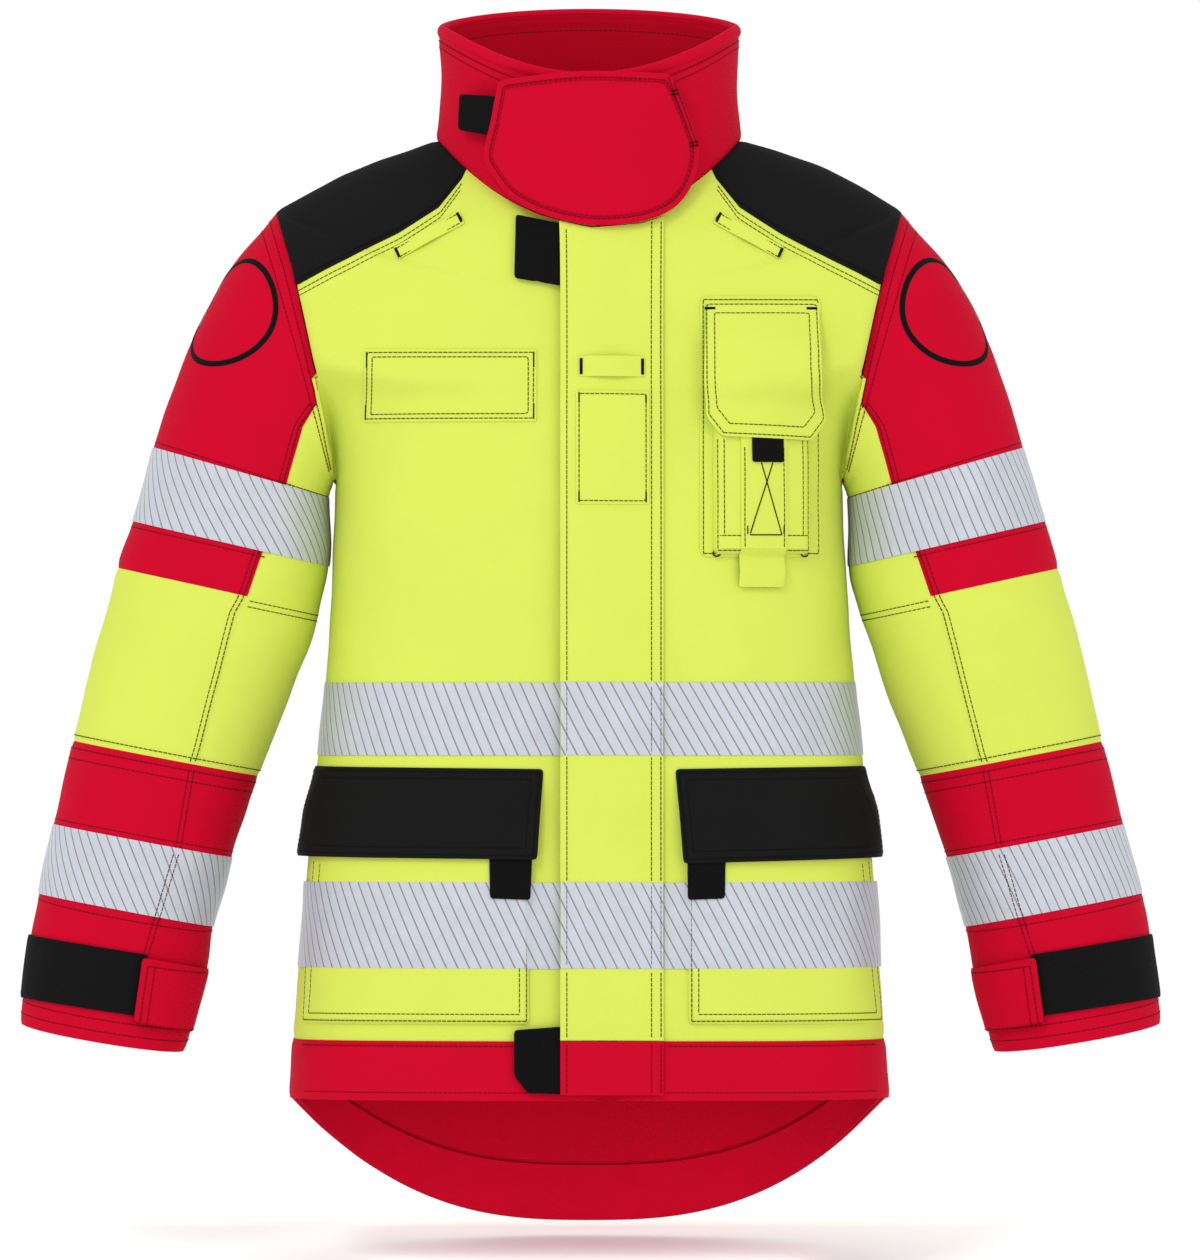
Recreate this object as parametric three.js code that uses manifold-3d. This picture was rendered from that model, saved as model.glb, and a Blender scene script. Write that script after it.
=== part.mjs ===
// A high-visibility turnout coat, closed and hanging. Millimetres, +Z up, +X to the wearer's left,
// the front facing -Y. The origin is the hang loop, sewn inside the neck at the centre back.
// The coat is first laid out with z = 0 at the lowest point of the drop tail, and moved at the end.
import * as THREE from "three";
import { mergeVertices } from "three/addons/utils/BufferGeometryUtils.js";
import Module from "manifold-3d";

const wasm = await Module();
wasm.setup();

// ---------- driving dimensions ----------
const hemHalfWidth = 234;
const hemHeight = 100; // side and front hem above the tail's lowest point
const hemDepth = 138; // centre front ahead of the side seams, at the hem
const waistHalfWidth = 208;
const chestHalfWidth = 198;
const underarmHeight = 577;
const chestBackDepth = 128;
const shoulderHalfWidth = 245;
const shoulderTipHeight = 790;
const neckHalfWidth = 118;
const neckSideHeight = 846;
const neckFrontHeight = 780;
const neckBackHeight = 862;
const neckFrontDepth = 98;
const neckBackDepth = 84;
const armholeHalfDepth = 74;
const rimSideHeight = 932;
const rimFrontHeight = 894;
const rimBackHeight = 948;
const rimHalfWidth = 116;

const shellThickness = 3; // face fabric, membrane and quilt as one layer
const liningThickness = 1.5;
const seam = 0.5; // between neighbouring panels
const layerGap = 0.5; // between stacked layers
const tapeThickness = 0.8;
const pocketThickness = 3;
const flapThickness = 2.5;
const tabThickness = 1.6;

const zipX = 14; // the front closure sits a little to the wearer's left
const zipHalfGap = 8; // from the zip's centre to each front edge
const stormInnerX = -22; // free edge of the storm flap
const stormOuterX = 55; // sewn edge of the storm flap
const stormLift = 7; // space for the zip and its slider under the storm flap
const frontRecess = neckFrontDepth / 24.5; // how far a flat strip behind the fronts sits back from them
const liningClearance = 1.2; // outer cloth to lining
const collarFoot = frontRecess / 8; // collar above the neck edge
const stormTop = 770; // along the centre front line, from the tail's lowest point

const chestTapeLow = 367;
const chestTapeHigh = 423.5;
const hipTapeLow = 202;
const hipTapeHigh = 268.5;

// ---------- small tools ----------
const lerp = (a, b, t) => a + (b - a) * t;
const power = (value, exponent) => Math.sign(value) * Math.abs(value) ** exponent;
const materials = {
  yellow: new THREE.MeshStandardMaterial({ color: 0xe4f25c, roughness: 0.85 }),
  red: new THREE.MeshStandardMaterial({ color: 0xd4122c, roughness: 0.85 }),
  black: new THREE.MeshStandardMaterial({ color: 0x222223, roughness: 0.9 }),
  fastener: new THREE.MeshStandardMaterial({ color: 0x161517, roughness: 0.95 }),
  silver: new THREE.MeshStandardMaterial({ color: 0xcdd3d8, roughness: 0.45 }),
  lining: new THREE.MeshStandardMaterial({ color: 0xa81024, roughness: 0.9 }),
  metal: new THREE.MeshStandardMaterial({ color: 0x8c8f92, roughness: 0.4, metalness: 0.9 }),
  zip: new THREE.MeshStandardMaterial({ color: 0x1c1c1e, roughness: 0.6 }),
};

const coat = new THREE.Group();
const atHem = new THREE.Group(); // follows the sloping centre front line, z measured along it
const slope = Math.atan((hemDepth - neckFrontDepth) / (neckFrontHeight - hemHeight));
atHem.position.set(0, -hemDepth, hemHeight);
atHem.rotation.x = -slope;
coat.add(atHem);

function solidOf(geometry) {
  const bare = geometry.clone();
  bare.deleteAttribute("normal");
  bare.deleteAttribute("uv");
  const merged = mergeVertices(bare, 1e-4);
  const made = new wasm.Manifold(
    new wasm.Mesh({
      numProp: 3,
      vertProperties: new Float32Array(merged.attributes.position.array),
      triVerts: new Uint32Array(merged.index.array),
    }),
  );
  return made;
}

function geometryOf(solid) {
  const mesh = solid.getMesh();
  const geometry = new THREE.BufferGeometry();
  geometry.setAttribute("position", new THREE.BufferAttribute(new Float32Array(mesh.vertProperties), 3));
  geometry.setIndex(new THREE.BufferAttribute(new Uint32Array(mesh.triVerts), 1));
  return geometry;
}

function add(name, solid, material, group = coat) {
  const mesh = new THREE.Mesh(geometryOf(solid), materials[material]);
  mesh.name = name;
  group.add(mesh);
  return mesh;
}

// Keeps the largest body of a solid, where a cut leaves slivers beside it.
function largest(solid) {
  return solid.decompose().reduce((best, next) => (next.volume() > best.volume() ? next : best));
}

// A prism whose outline is drawn in the front view, as x and z, and which runs from y0 to y1.
function prism(outline, y0 = -400, y1 = 400) {
  const shape = new THREE.Shape(outline.map(([x, z]) => new THREE.Vector2(x, z)));
  const geometry = new THREE.ExtrudeGeometry(shape, { depth: y1 - y0, bevelEnabled: false });
  geometry.rotateX(Math.PI / 2);
  geometry.translate(0, y1, 0);
  return solidOf(geometry);
}

const box = (x0, x1, y0, y1, z0, z1) =>
  prism(
    [
      [x0, z0],
      [x1, z0],
      [x1, z1],
      [x0, z1],
    ],
    y0,
    y1,
  );
const band = (z0, z1) => box(-400, 400, -400, 400, z0, z1);
const mirrored = (outline) => outline.map(([x, z]) => [-x, z]);

const steps = (from, to, count) => Array.from({ length: count + 1 }, (_, i) => lerp(from, to, i / count));

// A closed sheet between two offsets of a surface. at(u, v) gives a point for each u and v listed.
// With wraps set it closes on itself in u, and the last u is the first one again.
function sheet(at, us, vs, inner, outer, wraps = false) {
  const step = 1e-3;
  const [uLow, uHigh] = [us[0], us.at(-1)];
  const [vLow, vHigh] = [vs[0], vs.at(-1)];
  const reach = (uHigh - uLow) * step;
  const lift = (vHigh - vLow) * step;
  const offsetPoint = (u, v, offset) => {
    const uA = wraps ? u - reach : Math.max(uLow, u - reach);
    const uB = wraps ? u + reach : Math.min(uHigh, u + reach);
    const vA = Math.max(vLow, v - lift);
    const vB = Math.min(vHigh, v + lift);
    const along = at(uB, v).sub(at(uA, v));
    const up = at(u, vB).sub(at(u, vA));
    const normal = along.cross(up).normalize();
    return at(u, v).addScaledVector(normal, offset);
  };
  const columns = us.length - 1;
  const rows = vs.length - 1;
  const across = wraps ? columns : columns + 1;
  const positions = [];
  for (const offset of [inner, outer]) {
    for (let j = 0; j <= rows; j++) {
      for (let i = 0; i < across; i++) {
        positions.push(...offsetPoint(us[i], vs[j], offset).toArray());
      }
    }
  }
  const layer = across * (rows + 1);
  const id = (i, j, k) => k * layer + j * across + (i % across);
  const index = [];
  const quad = (a, b, c, d) => index.push(a, b, c, a, c, d);
  for (let j = 0; j < rows; j++) {
    for (let i = 0; i < columns; i++) {
      quad(id(i, j, 1), id(i + 1, j, 1), id(i + 1, j + 1, 1), id(i, j + 1, 1));
      quad(id(i, j, 0), id(i, j + 1, 0), id(i + 1, j + 1, 0), id(i + 1, j, 0));
    }
    if (!wraps) {
      quad(id(0, j, 0), id(0, j, 1), id(0, j + 1, 1), id(0, j + 1, 0));
      quad(id(columns, j, 0), id(columns, j + 1, 0), id(columns, j + 1, 1), id(columns, j, 1));
    }
  }
  for (let i = 0; i < columns; i++) {
    quad(id(i, 0, 0), id(i + 1, 0, 0), id(i + 1, 0, 1), id(i, 0, 1));
    quad(id(i, rows, 0), id(i, rows, 1), id(i + 1, rows, 1), id(i + 1, rows, 0));
  }
  const geometry = new THREE.BufferGeometry();
  geometry.setAttribute("position", new THREE.BufferAttribute(new Float32Array(positions), 3));
  geometry.setIndex(index);
  return solidOf(geometry);
}

// ---------- the body's surface ----------
// Each level of the body: half its width, the height of its side, centre front and centre back,
// the depth of its edge (more than 0 beside an armhole), its back depth and how square it is.
const armhole = (height) => {
  const along = (2 * (height - underarmHeight)) / (shoulderTipHeight - underarmHeight) - 1;
  return armholeHalfDepth * Math.sqrt(Math.max(0, 1 - along * along));
};
const levels = [
  { width: hemHalfWidth, side: hemHeight, front: hemHeight, back: 0, depth: 132, square: 2.7 },
  {
    width: lerp(hemHalfWidth, waistHalfWidth, 0.35),
    side: 225, front: 225, back: 180, depth: 131, square: 2.7,
  },
  {
    width: lerp(hemHalfWidth, waistHalfWidth, 0.75),
    side: 350, front: 350, back: 330, depth: 130, square: 2.7,
  },
  {
    width: lerp(waistHalfWidth, chestHalfWidth, 0.35),
    side: 450, front: 450, back: 440, depth: chestBackDepth, square: 2.6,
  },
  {
    width: chestHalfWidth,
    side: underarmHeight, front: 577, back: 577, depth: chestBackDepth, square: 2.5,
  },
  { width: chestHalfWidth + 7, side: 625, front: 617, back: 625, depth: chestBackDepth, square: 2.5 },
  { width: chestHalfWidth + 19, side: 684, front: 660, back: 690, depth: 124, square: 2.4 },
  { width: chestHalfWidth + 33, side: 745, front: 702, back: 755, depth: 116, square: 2.3 },
  { width: shoulderHalfWidth, side: shoulderTipHeight, front: 733, back: 800, depth: 105, square: 2.2 },
  {
    width: lerp(shoulderHalfWidth, neckHalfWidth, 0.45),
    side: 822, front: 758, back: 836, depth: 94, square: 2.1,
  },
  {
    width: neckHalfWidth,
    side: neckSideHeight, front: neckFrontHeight, back: neckBackHeight, depth: neckBackDepth, square: 2,
  },
];
const frontDepth = (height) => hemDepth - (height - hemHeight) * Math.tan(slope);

function levelAt(v) {
  const at = Math.min(v * (levels.length - 1), levels.length - 1.000001);
  const low = levels[Math.floor(at)];
  const high = levels[Math.floor(at) + 1];
  const mixed = {};
  for (const key of Object.keys(low)) mixed[key] = lerp(low[key], high[key], at % 1);
  return mixed;
}

// A point of the body. angle 0 is the centre front, +90 the wearer's left side, 180 the centre back.
// At the sides the front and the back part round the armhole, so a panel says which of them it is.
function bodyPoint(angle, v, front = Math.cos((angle * Math.PI) / 180) > 0) {
  const level = levelAt(v);
  const sine = Math.sin((angle * Math.PI) / 180);
  const cosine = Math.cos((angle * Math.PI) / 180);
  const edge = armhole(level.side);
  const middle = front ? level.front : level.back;
  const depth = front ? frontDepth(level.front) : level.depth;
  const out = edge + (depth - edge) * Math.abs(cosine) ** (2 / level.square);
  return new THREE.Vector3(
    level.width * power(sine, 2 / level.square),
    front ? -out : out,
    level.side + (middle - level.side) * cosine * cosine,
  );
}

const levelRows = steps(0, 1, levels.length - 1);
const turnStep = 10; // degrees between the columns of a body panel
const turns = (from, to) => steps(from, to, Math.round((to - from) / turnStep));
const frontHalf = (inner, outer) =>
  sheet((angle, v) => bodyPoint(angle, v, true), turns(-90, 90), levelRows, inner, outer);
const backHalf = (inner, outer) =>
  sheet((angle, v) => bodyPoint(angle, v, false), turns(90, 270), levelRows, inner, outer);
// All round, from one side of the centre front to the other, in smaller steps beside each side line.
const sideStep = 0.5;
const roundAngles = (from, to) =>
  turns(from, to).flatMap((angle) => (angle % 180 === 90 ? [angle - sideStep, angle + sideStep] : [angle]));

// ---------- outlines in the front view (x from the centre, z from the tail's lowest point) ----------
const yokeOutline = [
  [shoulderHalfWidth + 40, 719],
  [226, 733],
  [148, 773],
  [117, 793],
  [99, 816],
  [60, 900],
  [shoulderHalfWidth + 40, 900],
];
const seamLine = (outline) => outline.map(([x, z]) => [x - 0.3, z - seam]);
const yokes = prism(yokeOutline).add(prism(mirrored(yokeOutline)));
const yokesGrown = prism(seamLine(yokeOutline)).add(prism(mirrored(seamLine(yokeOutline))));

// What is cut away at an armhole, where a sheet that runs all round would close it.
const armholeOpening = (side, grow) => {
  const shape = new THREE.Shape();
  const middle = (underarmHeight + shoulderTipHeight) / 2;
  const reach = (shoulderTipHeight - underarmHeight) / 2;
  shape.absellipse(0, 0, reach + grow, armholeHalfDepth + grow, 0, Math.PI * 2);
  const geometry = new THREE.ExtrudeGeometry(shape, { depth: 150, bevelEnabled: false, curveSegments: 9 });
  geometry.rotateY(Math.PI / 2);
  geometry.translate(side > 0 ? 150 : -300, 0, middle);
  return solidOf(geometry);
};

// ---------- body panels ----------
const frontShell = frontHalf(-shellThickness, 0);
const backShell = backHalf(-shellThickness, 0);
const zipGap = box(zipX - zipHalfGap, zipX + zipHalfGap, -400, 0, -50, 1000);
const hemBandHigh = 146;
const leftOfZip = box(zipX, 400, -400, 400, -50, 1000);
const rightOfZip = box(-400, zipX, -400, 400, -50, 1000);
const fronts = frontShell.subtract(zipGap).subtract(yokesGrown);
const frontUpper = fronts.intersect(band(hemBandHigh + seam, 1000));
const frontLower = fronts.intersect(band(-50, hemBandHigh));
// the side seams keep a gap between the front and back halves
const sideTrim = box(-400, 400, -seam / 2, seam / 2, -50, 1000);
const trimSides = (solid) => largest(solid.subtract(sideTrim));
add("front_panel_right", trimSides(frontUpper.intersect(rightOfZip)), "yellow");
add("front_panel_left", trimSides(frontUpper.intersect(leftOfZip)), "yellow");
add("hem_band_right", trimSides(frontLower.intersect(rightOfZip)), "red");
add("hem_band_left", trimSides(frontLower.intersect(leftOfZip)), "red");

const tailTop = hemBandHigh;
const backUpper = backShell.subtract(yokesGrown).intersect(band(tailTop + seam, 1000));
add("back_panel", trimSides(backUpper), "yellow");
add("tail_panel", trimSides(backShell.intersect(band(-50, tailTop))), "red");

const wornYokes = sheet(bodyPoint, roundAngles(0, 360), levelRows, -shellThickness, 0)
  .subtract(armholeOpening(1, -0.5))
  .subtract(armholeOpening(-1, -0.5))
  .intersect(yokes);
add("shoulder_yoke_right", largest(wornYokes.intersect(rightOfZip)), "black");
add("shoulder_yoke_left", largest(wornYokes.intersect(leftOfZip)), "black");

// lining: inside the shell, open down the front where the facings are, and at the armholes
const liningOuter = -shellThickness - liningClearance;
const liningInner = liningOuter - liningThickness;
const facingShare = 0.025; // the lining's lower edge, and the tail facing's upper, as a share of the body
const liningAngles = roundAngles(turnStep, 360 - turnStep);
const liningBack = 7; // from the armhole's edge
const liningRows = [facingShare, ...levelRows.slice(1)];
const lining = sheet(bodyPoint, liningAngles, liningRows, liningInner, liningOuter)
  .subtract(armholeOpening(1, liningBack))
  .subtract(armholeOpening(-1, liningBack))
  .subtract(wornYokes);
add("body_lining", largest(lining), "lining");

// the facing inside the drop tail, a crescent along the hem
const facingRows = [0, facingShare - 0.001];
const facingPoint = (angle, v) => bodyPoint(angle, v, false);
const facing = sheet(facingPoint, turns(90, 270), facingRows, liningInner, liningOuter);
add("tail_facing", trimSides(facing), "red");

// ---------- reflective bands on the body ----------
const tapeInner = layerGap;
const tapeOuter = layerGap + tapeThickness;
const frontTape = frontHalf(tapeInner, tapeOuter);
const backTape = backHalf(tapeInner, tapeOuter);
const tapeEnds = box(zipX - zipHalfGap, stormOuterX + 3, -400, 0, -50, 1000);
const hipTape = frontTape.intersect(band(hipTapeLow, hipTapeHigh)).subtract(tapeEnds);
const chestTape = frontTape.intersect(band(chestTapeLow, chestTapeHigh)).subtract(tapeEnds);
add("tape_chest_right", trimSides(chestTape.intersect(rightOfZip)), "silver");
add("tape_chest_left", trimSides(chestTape.intersect(leftOfZip)), "silver");
add("tape_chest_back", trimSides(backTape.intersect(band(chestTapeLow, chestTapeHigh))), "silver");
add("tape_hip_back", trimSides(backTape.intersect(band(hipTapeLow, hipTapeHigh))), "silver");

// ---------- cargo pockets and their flaps ----------
const pocketLow = 159;
const pocketHigh = 350;
const pocketRight = { inner: -48, outer: -223 }; // x of the pocket's two edges
const pocketLeft = { inner: 77, outer: 229 };
const pocketInner = layerGap;
const pocketOuter = pocketInner + pocketThickness;
const flapInner = pocketOuter + 1.8;
const flapOuter = flapInner + flapThickness;
const pocketLayer = frontHalf(pocketInner, pocketOuter);
const overPocketInner = pocketOuter + 0.4;
const overPocketOuter = overPocketInner + tapeThickness;
const overPocketTape = frontHalf(overPocketInner, overPocketOuter);
const tapeStep = frontHalf(tapeInner, overPocketOuter);
const flapLayer = frontHalf(flapInner, flapOuter);

const flapTop = 358;
const flapLow = 286;
function cargo(side, pocket, flapOutline, tabOutline) {
  const across = [Math.min(pocket.inner, pocket.outer), Math.max(pocket.inner, pocket.outer)];
  const pocketBox = box(...across, -400, -seam, pocketLow, pocketHigh);
  add("pocket_" + side, largest(pocketLayer.intersect(pocketBox)), "yellow");
  // the hip tape climbs over the pocket and comes down again beyond it
  const outside = across.map((x, i) => (i ? x + 0.4 : x - 0.4));
  const climb = across.map((x, i) => (i ? x + 1.4 : x - 1.4));
  const hipBand = band(hipTapeLow, hipTapeHigh);
  const half = pocket.outer < 0 ? rightOfZip : leftOfZip;
  const tape = hipTape
    .subtract(box(...outside, -400, 0, -50, 1000))
    .add(overPocketTape.intersect(hipBand).intersect(box(...climb, -400, -seam, -50, 1000)))
    .add(tapeStep.intersect(hipBand).intersect(box(climb[0], outside[0], -400, -seam, -50, 1000)))
    .add(tapeStep.intersect(hipBand).intersect(box(outside[1], climb[1], -400, -seam, -50, 1000)))
    .intersect(half);
  add("tape_hip_" + side, trimSides(tape), "silver");
  add("pocket_flap_" + side, largest(flapLayer.intersect(prism(flapOutline, -400, -seam))), "black");
  add("pocket_tab_" + side, largest(flapLayer.intersect(prism(tabOutline, -400, -seam))), "fastener");
}
cargo(
  "right",
  pocketRight,
  [
    [-226, flapLow + 1],
    [-40.5, flapLow - 3],
    [-36, flapTop - 2],
    [-217, flapTop],
  ],
  [
    [-76, 255],
    [-43.5, 255],
    [-43.5, flapLow - 4],
    [-76, flapLow - 3.5],
  ],
);
cargo(
  "left",
  pocketLeft,
  [
    [72.5, flapLow - 3],
    [228, flapLow + 1],
    [215, flapTop],
    [67, flapTop - 2],
  ],
  [
    [75.5, 255],
    [104.5, 255],
    [104.5, flapLow - 3.5],
    [75.5, flapLow - 4],
  ],
);

// ---------- name panel on the right chest, shoulder loops ----------
const trimLayer = frontHalf(layerGap, layerGap + 1.2);
const namePanel = { x0: -174.5, x1: -40.5, z0: 626, z1: 682 };
const namePanelBox = box(namePanel.x0, namePanel.x1, -400, 0, namePanel.z0, namePanel.z1);
add("name_panel", largest(trimLayer.intersect(namePanelBox)), "yellow");
const loopStrip = [
  [-152, 761],
  [-148, 752],
  [-96, 780],
  [-100, 789],
];
add("shoulder_loop_right", largest(trimLayer.intersect(prism(loopStrip, -400, 0))), "yellow");
add("shoulder_loop_left", largest(trimLayer.intersect(prism(mirrored(loopStrip), -400, 0))), "yellow");

// ---------- collar ----------
const collarRow = (v) => ({
  width: lerp(neckHalfWidth, rimHalfWidth, v) - 3 * Math.sin(Math.PI * v) + 1.5,
  side: lerp(neckSideHeight + collarFoot, rimSideHeight, v),
  front: lerp(neckFrontHeight + collarFoot, rimFrontHeight, v),
  back: lerp(neckBackHeight + collarFoot, rimBackHeight, v),
  frontDepth: lerp(neckFrontDepth, neckFrontDepth - 2, v) + 1.5,
  backDepth: lerp(neckBackDepth, neckBackDepth - 4, v) + 1.5,
});
function collarPoint(angle, v) {
  const row = collarRow(v);
  const sine = Math.sin((angle * Math.PI) / 180);
  const cosine = Math.cos((angle * Math.PI) / 180);
  const middle = cosine > 0 ? row.front : row.back;
  const depth = cosine > 0 ? row.frontDepth : row.backDepth;
  const dip = cosine > 0 ? cosine * cosine : Math.abs(cosine) ** 1.2;
  return new THREE.Vector3(row.width * sine, -depth * cosine, row.side + (middle - row.side) * dip);
}
const collarOpening = (Math.asin(zipX / neckHalfWidth) * 180) / Math.PI;
const collarGap = 3.4; // degrees from the zip's centre to each collar end
const collarSheet = (inner, outer) =>
  sheet(
    collarPoint,
    steps(collarOpening + collarGap, 360 + collarOpening - collarGap, 36),
    [0, 0.5, 1],
    inner,
    outer,
  );
add("collar_shell", collarSheet(-2.5, 0), "red");
add("collar_lining", collarSheet(-5.5, -3), "lining");

// hang loop: a flat webbing arch inside the back of the neck
const loopHalfLength = 30;
const loopGap = 8;
const loopWidth = 9;
const loopSeatY = neckBackDepth - 6;
const loopZ = neckBackHeight + 22;
const loopShape = new THREE.Shape();
loopShape.moveTo(-loopHalfLength, 0);
loopShape.lineTo(-loopHalfLength + 8, 0);
loopShape.quadraticCurveTo(-loopHalfLength + 12, -loopGap, -8, -loopGap);
loopShape.lineTo(8, -loopGap);
loopShape.quadraticCurveTo(loopHalfLength - 12, -loopGap, loopHalfLength - 8, 0);
loopShape.lineTo(loopHalfLength, 0);
loopShape.lineTo(loopHalfLength, -1.4);
loopShape.lineTo(loopHalfLength - 7, -1.4);
loopShape.quadraticCurveTo(loopHalfLength - 11, -loopGap - 1.4, 8, -loopGap - 1.4);
loopShape.lineTo(-8, -loopGap - 1.4);
loopShape.quadraticCurveTo(-loopHalfLength + 11, -loopGap - 1.4, -loopHalfLength + 7, -1.4);
loopShape.lineTo(-loopHalfLength, -1.4);
const loopGeometry = new THREE.ExtrudeGeometry(loopShape, {
  depth: loopWidth,
  bevelEnabled: false,
  curveSegments: 5,
});
loopGeometry.translate(0, loopSeatY - 2.6, loopZ - loopWidth / 2);
add("hang_loop", solidOf(loopGeometry), "fastener");

// ---------- throat flap ----------
const throatOutline = [
  [-69, 891],
  [-30, 896],
  [2, 898.5],
  [61.5, 896],
  [68, 883.5],
  [86.5, 838.5],
  [79, 808],
  [65, 790],
  [40, 780],
  [2, 777],
  [-34, 785],
  [-61, 799],
  [-75, 818],
  [-82.5, 831],
  [-75, 858],
];
const throatLift = stormLift + flapThickness + 1;
const throatThickness = 3.5;
const throatHalfWidth = neckHalfWidth + 4;
const throatPoint = (angle, height) => {
  const turn = (angle * Math.PI) / 180;
  const reach = neckFrontDepth + throatLift;
  return new THREE.Vector3(throatHalfWidth * Math.sin(turn), -reach * Math.cos(turn) ** 0.9, height);
};
const throatSheet = (inner, outer) => sheet(throatPoint, steps(-62, 62, 14), [770, 905], inner, outer);
const throatPrism = prism(throatOutline, -400, 0);
add("throat_flap", largest(throatSheet(0, throatThickness).intersect(throatPrism)), "red");
const throatTab = [
  [-101, 853],
  [-78.5, 848],
  [-76, 877.5],
  [-100, 881],
];
add("throat_tab", largest(throatSheet(0, tabThickness).intersect(prism(throatTab, -400, 0))), "fastener");

// ---------- closure along the centre front ----------
// In this group x is the coat's, y is 0 on the front panels and z runs up the closure from the hem.
const closureLength = stormTop - hemHeight;
const centre = (name, solid, material) => add(name, solid, material, atHem);
const stormInnerY = -stormLift;
const stormOuterY = stormInnerY - flapThickness;
centre("storm_flap", box(stormInnerX, stormOuterX, stormOuterY, stormInnerY, 4, closureLength), "yellow");

const stormTabY = [stormInnerY + 0.3, stormInnerY + 0.3 + tabThickness];
centre(
  "storm_tab_top",
  prism(
    [
      [-58, 629],
      [stormInnerX + 12, 622],
      [stormInnerX + 12, 664],
      [-56, 680],
    ],
    ...stormTabY,
  ),
  "fastener",
);
centre(
  "storm_tab_bottom",
  prism(
    [
      [-57.5, 27],
      [-43, 6],
      [stormInnerX + 12, 6],
      [stormInnerX + 12, 62],
      [-57.5, 57],
    ],
    ...stormTabY,
  ),
  "fastener",
);

const trimY = [stormOuterY - layerGap - 1.2, stormOuterY - layerGap];
const micLoop = { x0: -8, x1: 43, z0: 561, z1: 577 };
centre("mic_loop", box(micLoop.x0, micLoop.x1, ...trimY, micLoop.z0, micLoop.z1), "yellow");
const badge = { x0: -10, x1: 46.5, z0: 461, z1: 549 };
centre("badge_panel", box(badge.x0, badge.x1, ...trimY, badge.z0, badge.z1), "yellow");

// zip: two tapes with a moulded chain on each, a slider that grips the chain from the front, its pull
const chainHalfWidth = 3.6;
const chainY = [-1, 2];
const neckX = [1.2, 2.4]; // the chain stands off the tape on a narrow neck
const zipTapeY = [frontRecess, frontRecess + 0.8]; // behind the panels, which curve back beside it
const zipLow = 12;
const zipTop = closureLength - 10;
const toothPitch = 40;
function zipTape(side) {
  const across = (a, b) => [a, b].map((value) => zipX + side * value).sort((c, d) => c - d);
  let tape = box(...across(neckX[0], 12), ...zipTapeY, zipLow, zipTop);
  tape = tape.add(box(...across(...neckX), chainY[1] - 0.1, zipTapeY[1], zipLow, zipTop));
  tape = tape.add(box(...across(neckX[0], chainHalfWidth), ...chainY, zipLow, zipTop));
  const offset = side > 0 ? 0 : toothPitch / 2;
  for (let z = zipLow + offset; z + 3 < zipTop; z += toothPitch) {
    tape = tape.add(box(...across(-0.7, neckX[0] + 0.1), chainY[0] + 0.5, chainY[1] - 0.5, z, z + 3));
  }
  return tape;
}
centre("zip_tape_right", zipTape(-1), "zip");
centre("zip_tape_left", zipTape(1), "zip");

const sliderHalf = 6.2;
const sliderTop = zipTop - 8;
const sliderLength = 17;
const sliderClear = 0.6;
const sliderZ = [sliderTop - sliderLength, sliderTop];
const slider = box(zipX - sliderHalf, zipX + sliderHalf, -3.2, 3.4, ...sliderZ)
  .subtract(
    box(
      zipX - chainHalfWidth - sliderClear,
      zipX + chainHalfWidth + sliderClear,
      chainY[0] - sliderClear,
      chainY[1] + sliderClear,
      0,
      900,
    ),
  )
  .subtract(box(zipX - neckX[1] - sliderClear, zipX + neckX[1] + sliderClear, 1, 9, 0, 900));
centre("zip_slider", slider, "metal");
const pullLength = 28;
const pullY = [-4.6, -3.6];
centre("zip_pull", box(zipX - 4, zipX + 4, ...pullY, sliderTop - 4 - pullLength, sliderTop - 4), "metal");

// ---------- radio pocket on the left chest: a pocket on a backing, its strap and flap ----------
const radioBackingOuter = layerGap + 1.2;
const radioBodyInner = radioBackingOuter + 0.4;
const radioBodyOuter = radioBodyInner + 9;
const radioStrapOuter = radioBodyOuter + 2;
const radioFlapInner = radioStrapOuter + 0.6;
const radioLayer = (inner, outer, outline) =>
  largest(frontHalf(inner, outer).intersect(prism(outline, -400, -seam)));
const upright = (x0, x1, z0, z1) => [
  [x0, z0],
  [x1, z0],
  [x1, z1],
  [x0, z1],
];
add("radio_backing", radioLayer(layerGap, radioBackingOuter, upright(86, 180, 521, 723)), "yellow");
add("radio_pocket", radioLayer(radioBodyInner, radioBodyOuter, upright(96, 168.5, 523, 690)), "yellow");
const strapOutline = upright(115.5, 150, 497.5, 640);
add("radio_strap", radioLayer(radioBodyOuter + 0.4, radioStrapOuter, strapOutline), "yellow");
const radioFlapTop = 719;
const radioFlapOutline = [
  [100.5, 614.5],
  [167, 612.5],
  [177, 628],
  [178.5, radioFlapTop],
  [89, radioFlapTop],
  [89, 629.5],
];
add("radio_flap", radioLayer(radioFlapInner, radioFlapInner + flapThickness, radioFlapOutline), "yellow");
const radioTabOutline = upright(123.5, 146.5, 594.5, 612.5);
add("radio_tab", radioLayer(radioFlapInner, radioFlapInner + tabThickness, radioTabOutline), "fastener");

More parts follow.
